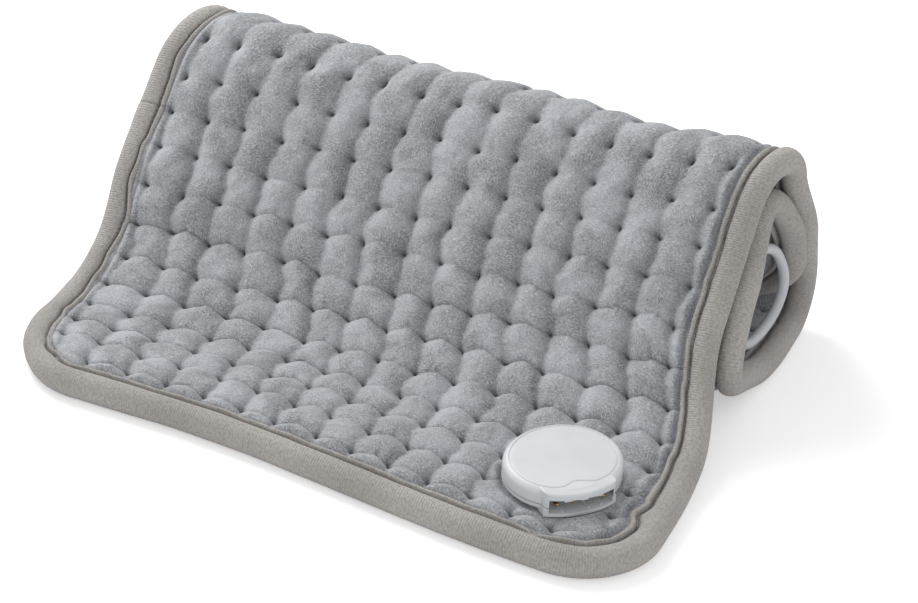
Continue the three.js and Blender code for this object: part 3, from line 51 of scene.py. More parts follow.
# The pad, as the part's source has it
WIDTH = 305.0
LENGTH = 610.0
THICK = 13.0
MID = THICK / 2
CORNER = 38.0
COLUMNS = 14
ROWS = 30
QUILT_MARGIN = 20.0
PITCH_X = (WIDTH - 2 * QUILT_MARGIN) / COLUMNS
PITCH_S = (LENGTH - 2 * QUILT_MARGIN) / ROWS
ROLL_HEIGHT = 109.5
TOP_RUN = 20.2
LAYER_STEP = THICK + 1
INNER_TOP = ROLL_HEIGHT - MID - THICK - 10.5
TAIL = 50.0
FRONT_SLOPE = math.radians(46)
BACK_SLOPE = math.radians(66)
RADII = (92, 22, 16, 18, 13, 20, 15)

# How the soft roll's line is made: its step, the softness of its corners, and how fine they are
SECTION_STEP = 0.5
SOFTNESS = 3.5
ARC_POINTS = 60
FOOT_POINTS = 90
FLOOR_GAP = 0.2

# How the soft roll's ends, left side and top differ from its solids, and where each fades in and out
END_LIFT = 15.0
END_FLOOR = 64.0
END_RADII = (92, 22, 16, 18, 30, 12, 20, 15)
END_RISE = 4.0
END_TAIL = 20.0
END_MIDDLE = -15.0
END_ACROSS = (95, 140)
FLOOR_PLACE = 375.0
LEFT_BULGE = 5.0
BULGE_ACROSS = (30, 150)
BULGE_IN = (120, 175)
BULGE_OUT = (250, 300)
TOP_DIP = 3.5
DIP_X = 85.0
DIP_WIDTH = 28.0
DIP_IN = (170, 215)
DIP_OUT = (265, 300)

# How far the layers run off square to the side, by their place along the pad
DRIFTS = (
    (90, 0), (160, -10), (215, -10), (262, -1), (300, 5), (385, 5),
    (447, 0), (487, -3), (528, -7), (562, 3.5), (590, 4.5), (610, 3),
)

# How far the front flap's left and right sides lie off square to the side, and its front edge to the back
FLAP_LEFT = -9.0
LEFT_ACROSS = (40, 150)
LEFT_IN = (10, 60)
LEFT_OUT = (80, 150)
FLAP_RIGHT = 3.7
RIGHT_ACROSS = (60, 150)
RIGHT_OUT = (50, 150)
FLAP_BACK = 21.0
BACK_ACROSS = (-75, 135)
BACK_OUT = (0, 120)
SOCKET_FREE = (1, 14)

# The socket: an oval set aside from its mouth's axis
SOCKET = (WIDTH / 2 - 49.5, 52.4)
SOCKET_TURN = math.radians(-43.4)
SOCKET_BASE = THICK - 1.3
SOCKET_HALF_LENGTH = 27.5
SOCKET_R = 24.5
SOCKET_ASIDE = 2.6
OVAL_TURN = math.radians(-55)
MOUTH_X = 26.7
MOUTH_BOW = 36.0
MOUTH_DEPTH = 15.0
MOUTH_HALF = 14.5
MOUTH_TOP = 7.7
COLLAR = 16.4
SHELL_HEIGHT = 11.0
SHELL_SPLIT = 3.9
PIN_HEIGHT = 4.6
LID_INSET = 2.4
LID_FRONT = 21.6
LID_DIP = 3.4
LID_DIP_HALF = 9.0

# The cords, with the controller's places along X
CORD = 5.0
CORD_HEIGHT = 23.3
MAINS_START = 50.8
PAD_START = -84.8
LEAD_IN = 18.0
LEAD_STEPS = 10
COIL_PITCH = 5.6
COIL_START = math.radians(-15)
MAINS_TURNS = 9 - 1 / 12
PAD_TURNS = 4 - 1 / 12
COIL_CLEARANCE = 0.9
PLUG_TIP_INSET = 2.4
PLUG_REST = 0.8
MAINS_PLUG = (26.0, 17.0)
CONNECTOR_PLUG = (2 * COLLAR, 11.5)
MESH_GAP = 0.3
TURN_STEPS = 24
CURVE_STEPS = 3

binding_low, binding_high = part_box("edge_binding")
SHIFT = np.array((binding_high[0] * 1000 - WIDTH / 2, binding_low[1] * 1000, -0.5))


def metres(points):
    """Points of the part's own millimetre frame, in the row frame."""
    return (np.asarray(points, dtype=float) + SHIFT) / 1000


def link(obj):
    bpy.context.scene.collection.objects.link(obj)
    return obj


# Camera: its turns in degrees, its place, and its focal length in pixels of the photograph's frame
CAMERA_TURNS = (21.8, 29.3, 3.9)
CAMERA_PLACE = (348, -682, 527)
FOCAL_PIXELS = 2225
FRAME_WIDTH = 918
SENSOR = 36
NEAR = 0.05


def set_camera():
    yaw, pitch, roll = (math.radians(a) for a in CAMERA_TURNS)
    forward = Vector((-math.sin(yaw) * math.cos(pitch), math.cos(yaw) * math.cos(pitch), -math.sin(pitch)))
    right = Vector((math.cos(yaw), math.sin(yaw), 0))
    up = right.cross(forward)
    right, up = right * math.cos(roll) + up * math.sin(roll), up * math.cos(roll) - right * math.sin(roll)
    data = bpy.data.cameras.new("photo_camera")
    data.sensor_width = SENSOR
    data.lens = FOCAL_PIXELS * SENSOR / FRAME_WIDTH
    data.clip_start = NEAR
    camera = link(bpy.data.objects.new("photo_camera", data))
    axes = Matrix((right, up, -forward)).transposed().to_4x4()
    camera.matrix_world = Matrix.Translation(Vector(metres(CAMERA_PLACE))) @ axes
    bpy.context.scene.camera = camera


set_camera()

# Roll path


def unit(angle):
    return np.array((math.cos(angle), math.sin(angle)))


def crossing(p, a, q, b):
    da, db = unit(a), unit(b)
    gap = np.asarray(q) - p
    t = (gap[0] * db[1] - gap[1] * db[0]) / (da[0] * db[1] - da[1] * db[0])
    return p + t * da


def to_the_right(p, angle, distance):
    return p + distance * np.array((math.sin(angle), -math.cos(angle)))


def roll_corners():
    lift = np.array((0.0, MID))
    top_front = crossing(lift, FRONT_SLOPE, (0, ROLL_HEIGHT - MID), 0)
    top_back = top_front + (TOP_RUN, 0)
    foot = crossing(top_back, -BACK_SLOPE, (0, MID), 0)
    inner_front = to_the_right(lift, FRONT_SLOPE, LAYER_STEP)
    turn = crossing(inner_front, FRONT_SLOPE, (0, MID), 0)
    inner_top_front = crossing(inner_front, FRONT_SLOPE, (0, INNER_TOP), 0)
    inner_back = to_the_right(top_back, -BACK_SLOPE, LAYER_STEP)
    inner_top_back = crossing(inner_back, -BACK_SLOPE, (0, INNER_TOP), 0)
    end = inner_top_back + TAIL * unit(-BACK_SLOPE)
    front = np.array((-LENGTH, MID))
    return [front, lift, top_front, top_back, foot, turn, inner_top_front, inner_top_back, end]


def end_corners():
    """The corners at the roll's ends, where its lower front turn stands off the floor."""
    chain = roll_corners()
    turn = chain[5]
    lifted = turn + END_LIFT / math.sin(FRONT_SLOPE) * unit(FRONT_SLOPE)
    top_front = chain[6] + END_RISE / math.sin(FRONT_SLOPE) * unit(FRONT_SLOPE)
    top_back = chain[7] - END_RISE / math.sin(BACK_SLOPE) * unit(-BACK_SLOPE)
    tail = chain[8] + END_TAIL * unit(-BACK_SLOPE)
    return chain[:5] + [turn + (END_FLOOR, 0), lifted, top_front, top_back, tail]


def roll_line(chain, radii):
    steps = [b - a for a, b in zip(chain, chain[1:])]
    turns = [math.atan2(a[0] * b[1] - a[1] * b[0], a @ b) for a, b in zip(steps, steps[1:])]
    wanted = [r * math.tan(abs(t) / 2) for r, t in zip(radii, turns)]
    limits = []
    for i, reach in enumerate(wanted):
        before = math.inf if i == 0 else np.linalg.norm(steps[i]) / (wanted[i - 1] + reach)
        beside = 0 if i == len(wanted) - 1 else wanted[i + 1]
        limits.append(min(1, before, np.linalg.norm(steps[i + 1]) / (reach + beside)))
    line = [chain[0]]
    for i, corner in enumerate(chain[1:-1]):
        inward = steps[i] / np.linalg.norm(steps[i])
        radius = radii[i] * limits[i]
        side = math.copysign(1, turns[i])
        start = corner - inward * wanted[i] * limits[i]
        centre = start + side * radius * np.array((-inward[1], inward[0]))
        spoke = start - centre
        for share in np.linspace(0, 1, ARC_POINTS):
            c, s = math.cos(turns[i] * share), math.sin(turns[i] * share)
            line.append(centre + (c * spoke[0] - s * spoke[1], s * spoke[0] + c * spoke[1]))
    line.append(chain[-1])
    return np.array(line)


def smoothstep(value, low, high):
    t = np.clip((np.asarray(value, dtype=float) - low) / (high - low), 0, 1)
    return t * t * (3 - 2 * t)


def fade(value, low, high):
    return 1 - smoothstep(value, low, high)


def bell(distance, height, width, power=2, less=0.0):
    """A rounded peak at no distance, which may be lower by an amount that varies."""
    return (height - less) * np.exp(-np.abs(distance / width) ** power)


def blurred(values, width):
    """Moving average with a bell-shaped window, with straight ends."""
    reach = int(3 * width)
    window = np.exp(-0.5 * (np.arange(-reach, reach + 1) / width) ** 2)
    window /= window.sum()
    head = 2 * values[0] - values[reach:0:-1]
    tail = 2 * values[-1] - values[-2:-reach - 2:-1]
    return np.convolve(np.concatenate((head, values, tail)), window, "valid")


def line_runs(line):
    return np.concatenate(([0], np.cumsum(np.linalg.norm(np.diff(line, axis=0), axis=1))))


def softened(y, z):
    """A section's middle line and its outward normals, with soft corners."""
    y, z = blurred(y, SOFTNESS / SECTION_STEP), blurred(z, SOFTNESS / SECTION_STEP)
    dy, dz = np.gradient(y), np.gradient(z)
    size = np.hypot(dy, dz)
    return np.array((y, z, -dz / size, dy / size))


def roll_table():
    """Places along the pad, and the roll's section there in its middle and at its ends."""
    line = roll_line(roll_corners(), RADII)
    along = line_runs(line)
    along -= along[-1] - LENGTH
    places = np.arange(0, LENGTH + SECTION_STEP / 2, SECTION_STEP)
    y, z = (np.interp(places, along, column) for column in line.T)
    start = y[0]
    ends = roll_line(end_corners(), END_RADII)
    runs = line_runs(ends)
    on_floor = np.interp(FLOOR_PLACE, places, y)
    after_foot = runs > runs[np.argmax(ends[:, 0])]
    on_ends = -ends[after_foot, 0][:FOOT_POINTS]
    fixed = np.interp(-on_floor, on_ends, runs[after_foot][:FOOT_POINTS])
    past = places - FLOOR_PLACE
    wanted = fixed + np.where(past < 0, past, past * (runs[-1] - fixed) / (LENGTH - FLOOR_PLACE))
    end_y, end_z = (np.interp(wanted, runs, column) for column in ends.T)
    return places, softened(y - start, z), softened(end_y - start, end_z), start


PLACES, MIDDLE, ENDS, PATH_START = roll_table()


def flap_shift(x, s):
    """How far the front flap lies to the side and to the back, with the socket left in its place."""
    free = smoothstep(socket_distance(x, s), *SOCKET_FREE)
    left = FLAP_LEFT * smoothstep(-x, *LEFT_ACROSS) * smoothstep(s, *LEFT_IN) * fade(s, *LEFT_OUT)
    right = FLAP_RIGHT * smoothstep(x, *RIGHT_ACROSS) * fade(s, *RIGHT_OUT)
    back = FLAP_BACK * fade(x, *BACK_ACROSS) * fade(s, *BACK_OUT)
    return free * (left + right), free * back


def rolled(x, s, n):
    """Row-frame points from places on the flat pad and heights off its middle."""
    x, s, n = np.broadcast_arrays(x, s, n)
    share = smoothstep(np.abs(x - END_MIDDLE), *END_ACROSS)
    y, z, out_y, out_z = (
        (1 - share) * np.interp(s, PLACES, middle) + share * np.interp(s, PLACES, end)
        for middle, end in zip(MIDDLE, ENDS)
    )
    size = np.hypot(out_y, out_z)
    bulge = LEFT_BULGE * smoothstep(-x, *BULGE_ACROSS) * smoothstep(s, *BULGE_IN) * fade(s, *BULGE_OUT)
    dip = bell(x - DIP_X, TOP_DIP, DIP_WIDTH) * smoothstep(s, *DIP_IN) * fade(s, *DIP_OUT)
    y = y + (n + bulge) * out_y / size
    z = z + (n + bulge) * out_z / size - dip
    drift = sum(
        (high - low) * smoothstep(s, start, end) for (start, low), (end, high) in zip(DRIFTS, DRIFTS[1:])
    )
    aside, back = flap_shift(x, s)
    points = metres(np.stack((x + drift + aside, y + back, z), axis=-1))
    points[..., 2] = np.maximum(points[..., 2], FLOOR_GAP / 1000)
    return points


# Noise: the length of its random table, and the primes that mix a grid point's places into one
NOISE_VALUES = 4096
NOISE_PRIMES = (7919, 104729)
NOISE_START = 1000


def noise(u, v, cell, seed):
    """Smooth random field from -1 to 1 with features one cell wide."""
    table = np.random.default_rng(seed).uniform(-1, 1, NOISE_VALUES)
    gu, gv = np.asarray(u) / cell + NOISE_START, np.asarray(v) / cell + NOISE_START
    iu, iv = np.floor(gu).astype(np.int64), np.floor(gv).astype(np.int64)
    fu, fv = smoothstep(gu - iu, 0, 1), smoothstep(gv - iv, 0, 1)

    def pick(a, b):
        return table[((a * NOISE_PRIMES[0]) ^ (b * NOISE_PRIMES[1])) & (NOISE_VALUES - 1)]

    low = pick(iu, iv) * (1 - fu) + pick(iu + 1, iv) * fu
    high = pick(iu, iv + 1) * (1 - fu) + pick(iu + 1, iv + 1) * fu
    return low * (1 - fv) + high * fv


def edge_inset(x, s):
    """Distance inwards from the pad's rounded outline."""
    dx = WIDTH / 2 - np.abs(x)
    ds = np.minimum(s, LENGTH - s)
    inset = np.minimum(dx, ds)
    in_corner = (dx < CORNER) & (ds < CORNER)
    return np.where(in_corner, CORNER - np.hypot(CORNER - dx, CORNER - ds), inset)


def socket_local(x, y):
    dx, dy = x - SOCKET[0], y - SOCKET[1]
    c, s = math.cos(SOCKET_TURN), math.sin(SOCKET_TURN)
    return c * dx + s * dy, c * dy - s * dx


def oval_reach(angle, inset=0.0):
    turned = angle - OVAL_TURN
    return 1 / np.hypot(np.cos(turned) / (SOCKET_HALF_LENGTH - inset), np.sin(turned) / (SOCKET_R - inset))


def socket_distance(x, s):
    """How far a place on the flat pad is from the socket's sides."""
    lx, ly = socket_local(x, s)
    aside = ly - SOCKET_ASIDE
    to_oval = np.hypot(lx, aside) - oval_reach(np.arctan2(aside, lx))
    to_collar = np.maximum(np.abs(lx - MOUTH_X / 2) - MOUTH_X / 2, np.abs(ly) - COLLAR)
    return np.minimum(to_oval, to_collar)


# Cords


def core_circle():
    """Middle and radius of the circle that touches the core's inner front, inner back and floor layer."""
    chain = roll_corners()
    rows, totals = [], []
    for corner, angle in ((chain[5], FRONT_SLOPE), (chain[7], -BACK_SLOPE), (chain[4], math.pi)):
        normal = np.array((math.sin(angle), -math.cos(angle)))
        rows.append((*normal, -1))
        totals.append(normal @ (corner - (PATH_START, 0)) + MID)
    return np.linalg.solve(rows, totals)


CORE_Y, CORE_Z, CORE_R = core_circle()
COIL_R = CORE_R - COIL_CLEARANCE - CORD / 2


def core_point(x, radius, angle):
    return np.array((x, CORE_Y + radius * math.cos(angle), CORE_Z + radius * math.sin(angle)))


def lead_points(start, sign, coil):
    points = [np.array((start + sign * out, CORE_Y, CORD_HEIGHT)) for out in (0, CORD / 4)]
    for i in range(1, LEAD_STEPS):
        share = i / LEAD_STEPS
        turned = share * math.pi / 2
        angle = -math.pi / 2 + (COIL_START + math.pi / 2) * (1 - math.cos(turned))
        radius = CORE_Z - CORD_HEIGHT + (COIL_R - CORE_Z + CORD_HEIGHT) * smoothstep(share, 0, 1)
        points.append(core_point(start + (coil - start) * math.sin(turned), radius, angle))
    return points


def plug_height(width, height):
    inside = COIL_R - CORD / 2 - PLUG_REST
    return CORE_Z - math.sqrt(inside ** 2 - width ** 2 / 4) + height / 2


def cord_points(start, sign, turns, shown, height):
    """A cord's points: out of the controller, round its coil, round its loose turn, and into its plug."""
    coil = start + sign * LEAD_IN
    coiled = [
        core_point(coil + sign * t * COIL_PITCH, COIL_R, COIL_START + t * math.tau)
        for t in (*np.arange(0, turns, 1 / TURN_STEPS), turns)
    ]
    angle = COIL_START + turns * math.tau
    leaving = coiled[-1] + np.array((0, -math.sin(angle), math.cos(angle))) * CORD
    tip = np.array((coiled[-1][0] - sign * (PLUG_TIP_INSET - MESH_GAP), CORE_Y, height))
    shown = [np.array(p, dtype=float) for p in shown]
    return lead_points(start, sign, coil) + coiled + [leaving, *shown, tip + (sign * CORD, 0, 0), tip]


# The mains cord's loose turn, and the pad cord's as shares of its reach out of the coil, across it and up
MAINS_LOOP = (
    (121.2, 219.6, 33.5), (124.5, 217.2, 46.5), (128, 205.5, 57.8), (131, 190.5, 58.2), (135.5, 178.8, 49),
    (139.5, 174.8, 36), (142, 178.3, 25), (143.5, 187, 19.5), (146, 200, 20.2), (148.3, 210.3, 25.5),
    (149.6, 215.2, 34), (149.4, 216.2, 42), (147.6, 214, 50.5), (144.5, 208.8, 58.6), (141, 201, 61.2),
    (139.5, 192.3, 57), (138, 187, 49.5), (135.3, 185.3, 41.5), (131.5, 187.8, 35.3),
)
PAD_LOOP = (
    (0.3, 0.95, 0.42), (0.62, 0.62, 0.95), (0.92, 0.18, 0.98), (1, -0.12, 0.5), (0.72, -0.12, 0.1),
)


def pad_points():
    height = plug_height(*CONNECTOR_PLUG)
    rise = CORE_Z + COIL_R * math.sqrt(0.5) - height
    end = PAD_START - LEAD_IN - PAD_TURNS * COIL_PITCH
    reach = LEAD_IN - CORD
    shown = [
        (end - out * reach, CORE_Y + across * COIL_R, height + up * rise) for out, across, up in PAD_LOOP
    ]
    return cord_points(PAD_START, -1, PAD_TURNS, shown, height)


def through(points, steps):
    """Points of the centripetal curve through the given ones."""
    points = [2 * points[0] - points[1], *points, 2 * points[-1] - points[-2]]
    found = []
    for a, b, c, d in zip(points, points[1:], points[2:], points[3:]):
        k1, k2, k3 = (math.sqrt(np.linalg.norm(q - p)) for p, q in ((a, b), (b, c), (c, d)))
        m1 = ((b - a) / k1 - (c - a) / (k1 + k2) + (c - b) / k2) * k2
        m2 = ((c - b) / k2 - (d - b) / (k2 + k3) + (d - c) / k3) * k2
        for t in np.arange(steps) / steps:
            found.append(
                (2 * t ** 3 - 3 * t ** 2 + 1) * b + (t ** 3 - 2 * t ** 2 + t) * m1
                + (3 * t ** 2 - 2 * t ** 3) * c + (t ** 3 - t ** 2) * m2
            )
    found.append(points[-2])
    return np.array(found)


def free_cord(name, points, solids):
    route = metres(through(points, CURVE_STEPS))
    data = bpy.data.curves.new(name, "CURVE")
    data.dimensions = "3D"
    data.bevel_resolution = 6
    # With a bevel of one metre, a point's radius is the cord's own radius
    data.bevel_depth = 1.0
    spline = data.splines.new("POLY")
    spline.points.add(len(route) - 1)
    spline.points.foreach_set("co", np.column_stack((route, np.ones(len(route)))).ravel())
    spline.points.foreach_set("radius", np.full(len(route), CORD / 2 / 1000))
    spline.use_smooth = True
    piece = link(bpy.data.objects.new(name, data))
    dress(piece, "cord", *solids)


# Quilting: the plush's crest, and the depth, width and power of each bell that pulls it in
CREST = 7.0
HEIGHTS = (1.2, 7.2)
PIT = (3.5, 1.6)
BOWL = (2.9, 5.4, 1.2)
CREASE = (1.7, 0.95, 1)
CREASE_RISE = 0.5
VALLEY = (1.9, 3.6)
VALLEY_RISE = 0.9
COLUMN = (3.4, 3.8, 1.6)
COLUMN_RISE = 1.1
DOME_ACROSS = 0.9
DOME_ALONG = 0.2
DOME_ALONG_FRONT = 0.7
SEAM_INSET = 15.0
SEAM = (3.3, 1.9)
UNDER_TAPE = 2.2
UNDER_INSETS = (12.4, 14.8)
BLEND_POWER = 2.4
SEAM_BLEND_POWER = 3

# How the rows fade out behind the flat front, and the columns get shallower towards the roll's top
ROW_LOSS = 0.8
ROW_LOSS_RUN = (125, 215)
COLUMN_GAIN = 1.15
COLUMN_FRONT_LOSS = 0.35
COLUMN_TOP_LOSS = 0.5
COLUMN_TOP_RUN = (160, 215)

# How the quilting varies: ranges of its random shares, how far its lines wander, and its swells
ARCH_RANGE = (0.6, 1.5)
STRETCH_RANGE = (0.75, 1.35)
ROW_RANGE = (0.55, 1.25)
COLUMN_RANGE = (0.75, 1.2)
TUFT_ASIDE = 1.0
TUFT_ALONG = 0.8
WANDER = 0.6
WANDER_CELLS = (12, 11)
CREASE_SWAY = 2.4
ARCH = 0.5
ARCH_FRONT = 1.5
SWELLS = ((0.5, 17, 3), (0.35, 9, 6))
LUMP = 0.22
LUMP_CELL = 5.5
LUMP_FADE = 5
NAP_RIPPLE = 0.10
NAP_CELL = 2.2

# How much painted shade darkens its tufts, creases, columns and seam, in the same way
PIT_SHADE = (0.85, 1.7)
CREASE_SHADE = (0.42, 0.7, 1)
COLUMN_SHADE = (0.16, 2.2)
SEAM_SHADE = (0.5, 0.7)
SEAM_SHADE_INSET = 14.9

# How low the cover lies under the socket, and how it rises beside it
SOCKET_SEAT = 3.6
SEAT_REACH = 0.7
SOCKET_RIM = 4.4
RIM_RISE = 3.5
RIM_RUN = (0.4, 6)


def soft_max(depths, power):
    return sum(np.maximum(d, 0) ** power for d in depths) ** (1 / power)


def nearest(value, top):
    return np.clip(np.round(value), 0, top).astype(int)


def among_tufts(x, s):
    return (x + WIDTH / 2 - QUILT_MARGIN) / PITCH_X, (s - QUILT_MARGIN) / PITCH_S


def quilt_height(x, s, seed, has_socket):
    """Height of the plush off the pad's middle, and the painted shade a point gets for how deep in a tuft or
    crease it lies.
    """
    rng = np.random.default_rng(seed)
    front = 1 - ROW_LOSS * smoothstep(s, *ROW_LOSS_RUN)
    u, v = among_tufts(x, s)
    cells = (COLUMNS + 2, ROWS + 2)
    cell_u = np.clip(np.floor(u).astype(int), 0, COLUMNS)
    cell_v = np.clip(np.floor(v).astype(int), 0, ROWS)

    # Creases wander between the tufts, and those across the pad arch over the pillows
    arch = rng.uniform(*ARCH_RANGE, cells)[cell_u, nearest(v, ROWS)]
    sway = rng.uniform(-1, 1, cells)[nearest(u, COLUMNS), cell_v]
    between_u = 0.5 - 0.5 * np.cos(math.tau * u)
    between_v = 0.5 - 0.5 * np.cos(math.tau * v)
    wx = x + WANDER * noise(x, s, WANDER_CELLS[0], seed + 1) + CREASE_SWAY * sway * between_v
    ws = s + WANDER * noise(x, s, WANDER_CELLS[1], seed + 2) - (ARCH + ARCH_FRONT * front) * arch * between_u
    u, v = among_tufts(wx, ws)
    iu, iv = nearest(u, COLUMNS), nearest(v, ROWS)
    tufts = (COLUMNS + 1, ROWS + 1)
    du = (u - iu) * PITCH_X - rng.uniform(-TUFT_ASIDE, TUFT_ASIDE, tufts)[iu, iv]
    dv = (v - iv) * PITCH_S - rng.uniform(-TUFT_ALONG, TUFT_ALONG, tufts)[iu, iv]
    stretch = rng.uniform(*STRETCH_RANGE, tufts)[iu, iv]
    row_gain = rng.uniform(*ROW_RANGE, cells)[cell_u, iv]
    column_gain = rng.uniform(*COLUMN_RANGE, cells)[iu, cell_v]
    pit = np.hypot(du * stretch, dv / stretch)
    share_u = np.clip(np.abs(du) / (PITCH_S / 2), 0, 1)
    share_v = np.clip(np.abs(dv) / (PITCH_S / 2), 0, 1)

    # Each depth below the crest
    tuft = bell(pit, *PIT) + bell(np.hypot(du, dv), *BOWL)
    row = bell(dv, *CREASE, less=CREASE_RISE * share_u) + bell(dv, *VALLEY, less=VALLEY_RISE * share_u)
    row *= front * row_gain
    column = column_gain * bell(du, *COLUMN, less=COLUMN_RISE * share_v)
    column *= COLUMN_GAIN - COLUMN_FRONT_LOSS * front - COLUMN_TOP_LOSS * smoothstep(s, *COLUMN_TOP_RUN)
    dome = DOME_ACROSS * (1 - share_u) ** 2 + (DOME_ALONG + DOME_ALONG_FRONT * front) * (1 - share_v) ** 2
    inset = edge_inset(x, s)
    seam = bell(inset - SEAM_INSET, *SEAM)
    depth = soft_max((soft_max((tuft, row, column, dome), BLEND_POWER), seam), SEAM_BLEND_POWER)

    crest = CREST + sum(swell * noise(x, s, cell, seed + more) for swell, cell, more in SWELLS)
    height = crest - depth
    height += LUMP * noise(x, s, LUMP_CELL, seed + 4) * np.clip(height / LUMP_FADE, 0, 1)
    height += NAP_RIPPLE * noise(x, s, NAP_CELL, seed + 5)
    under = smoothstep(inset, *UNDER_INSETS)
    height = UNDER_TAPE * (1 - under) + np.clip(height, *HEIGHTS) * under
    # Painted shade, strongest in the tufts and creases and along the seam
    painted_shade = bell(pit, *PIT_SHADE) + row_gain * front * bell(dv, *CREASE_SHADE)
    painted_shade += column_gain * bell(du, *COLUMN_SHADE) + bell(inset - SEAM_SHADE_INSET, *SEAM_SHADE)
    if has_socket:
        gap = socket_distance(x, s)
        rim = SOCKET_RIM + RIM_RISE * smoothstep(gap, *RIM_RUN)
        height = np.where(gap < SEAT_REACH, SOCKET_SEAT, np.minimum(height, rim))
    return height, np.clip(painted_shade, 0, 1)


def grid_faces(rows, columns, wrap_rows=False, wrap_columns=False):
    i = np.arange(rows if wrap_rows else rows - 1)
    j = np.arange(columns if wrap_columns else columns - 1)
    a, b = np.meshgrid(i, j, indexing="ij")
    a2, b2 = (a + 1) % rows, (b + 1) % columns
    quads = np.stack((a * columns + b, a2 * columns + b, a2 * columns + b2, a * columns + b2), axis=-1)
    return quads.reshape(-1, 4)


def capped_tube(rings, sides):
    last = sides * (rings - 1)
    caps = [tuple(range(sides)), tuple(range(last + sides - 1, last - 1, -1))]
    return [*grid_faces(rings, sides, False, True), *caps]


def make_mesh(name, points, faces, uv=None, fields=None, smooth=True):
    mesh = bpy.data.meshes.new(name)
    mesh.from_pydata(np.asarray(points).reshape(-1, 3).tolist(), [], [list(map(int, f)) for f in faces])
    if smooth:
        mesh.polygons.foreach_set("use_smooth", np.ones(len(mesh.polygons), dtype=bool))
    if uv is not None:
        layer = mesh.uv_layers.new(name="flat")
        corners = np.empty(len(mesh.loops), dtype=np.int32)
        mesh.loops.foreach_get("vertex_index", corners)
        layer.data.foreach_set("uv", np.asarray(uv, dtype=np.float32).reshape(-1, 2)[corners].ravel())
    for label, values in (fields or {}).items():
        layer = mesh.attributes.new(label, "FLOAT", "POINT")
        layer.data.foreach_set("value", np.asarray(values, dtype=np.float32).ravel())
    mesh.update()
    return link(bpy.data.objects.new(name, mesh))


def pad_grid(edge, count_x, count_s):
    """Places on the flat pad, from one edge to the other with the same margin all round."""
    across = np.linspace(edge - WIDTH / 2, WIDTH / 2 - edge, count_x)
    return np.meshgrid(across, np.linspace(edge, LENGTH - edge, count_s), indexing="ij")


def thin_sheet(name, x, s, points, edge, flipped, thickness, uv=None, fields=None):
    """A sheet over those cells of a grid that lie inside the pad's rounded outline, thickened behind."""
    faces = grid_faces(*x.shape)
    faces = faces[(edge_inset(x, s).ravel()[faces] > edge).all(axis=1)]
    used, corners = np.unique(faces[:, ::-1] if flipped else faces, return_inverse=True)
    uv = None if uv is None else uv.reshape(-1, 2)[used]
    fields = {label: values.ravel()[used] for label, values in (fields or {}).items()}
    obj = make_mesh(name, points.reshape(-1, 3)[used], corners.reshape(-1, 4), uv, fields)
    backing = obj.modifiers.new("backing", "SOLIDIFY")
    backing.thickness = thickness / 1000
    backing.offset = -1
    return obj


# Covers: how far in from the pad's outline they end, their lining, and how strongly painted light and shade
# follow the slopes of their crests
COVER_EDGE = 4.6
EDGE_SLACK = 0.8
LINING = 0.9
FLANK_SHADING_GAIN = 0.75
COVER_STEP = 0.9


def quilted_cover(name, side, spacing, seed):
    """A closed plush cover: quilted outside, plain lining inside."""
    counts = (int((size - 2 * COVER_EDGE) / spacing) + 1 for size in (WIDTH, LENGTH))
    x, s = pad_grid(COVER_EDGE, *counts)
    height, painted_shade = quilt_height(x, s, seed, side > 0)
    # Painted light and shade on the flanks: lighter where the plush rises along the pad's width, darker
    # where it falls
    rise = np.gradient(height, x[1, 0] - x[0, 0], axis=0)
    painted_flank_shading = np.clip(0.5 - FLANK_SHADING_GAIN * rise, 0, 1)
    return thin_sheet(
        name, x, s, rolled(x, s, side * height), COVER_EDGE - EDGE_SLACK, side > 0, LINING,
        np.stack((x, s), axis=-1) / 1000, {"painted_shade": painted_shade, "painted_flank_shading": painted_flank_shading},
    )


# Materials


class Nodes:
    """Short names for the nodes of one material or world."""

    def __init__(self, owner):
        self.owner = owner
        owner.use_nodes = True
        self.tree = owner.node_tree

    def put(self, socket, value):
        if isinstance(value, bpy.types.NodeSocket):
            self.tree.links.new(value, socket)
        else:
            socket.default_value = value

    def add(self, kind, inputs=None, output=0, **settings):
        """The output of a new node, with values or links put in its inputs."""
        node = self.tree.nodes.new("ShaderNode" + kind)
        for key, value in settings.items():
            setattr(node, key, value)
        for key, value in (inputs or {}).items():
            self.put(node.inputs[key], value)
        return node.outputs[output]

    def uv(self):
        return self.add("UVMap", uv_map="flat")

    def object(self):
        return self.add("TexCoord", output="Object")

    def field(self, name):
        return self.add("Attribute", output="Fac", attribute_name=name)

    def ray(self, kind):
        return self.add("LightPath", output=f"Is {kind} Ray")

    def stretched(self, vector, scale, offset=(0, 0, 0)):
        return self.add("Mapping", {"Vector": vector, "Scale": scale, "Location": offset})

    def noise(self, vector, scale, detail=2.0, roughness=0.5, distortion=0.0):
        shape = {"Scale": scale, "Detail": detail, "Roughness": roughness, "Distortion": distortion}
        return self.add("TexNoise", {"Vector": vector, **shape}, "Fac")

    def math(self, operation, a, b, clamp=False):
        return self.add("Math", {0: a, 1: b}, operation=operation, use_clamp=clamp)

    def ramp(self, value, low, high, out_low=0.0, out_high=1.0):
        inputs = {"Value": value, "From Min": low, "From Max": high, "To Min": out_low, "To Max": out_high}
        return self.add("MapRange", inputs)

    def mix(self, share, a, b):
        return self.add("Mix", {0: share, 6: a, 7: b}, 2, data_type="RGBA")

    def bump(self, height, strength, distance, under=None):
        inputs = {"Height": height, "Strength": strength, "Distance": distance}
        if under is not None:
            inputs["Normal"] = under
        return self.add("Bump", inputs)

    def finish(self, **values):
        surface = self.tree.nodes["Principled BSDF"]
        for key, value in values.items():
            self.put(surface.inputs[key.replace("_", " ")], value)
        return self.owner


def material_nodes(name):
    return Nodes(bpy.data.materials.new(name))


def srgb(*values):
    """Linear colour of eight-bit screen values."""
    shares = [v / 255 for v in values]
    return tuple(c / 12.92 if c <= 0.04045 else ((c + 0.055) / 1.055) ** 2.4 for c in shares) + (1.0,)


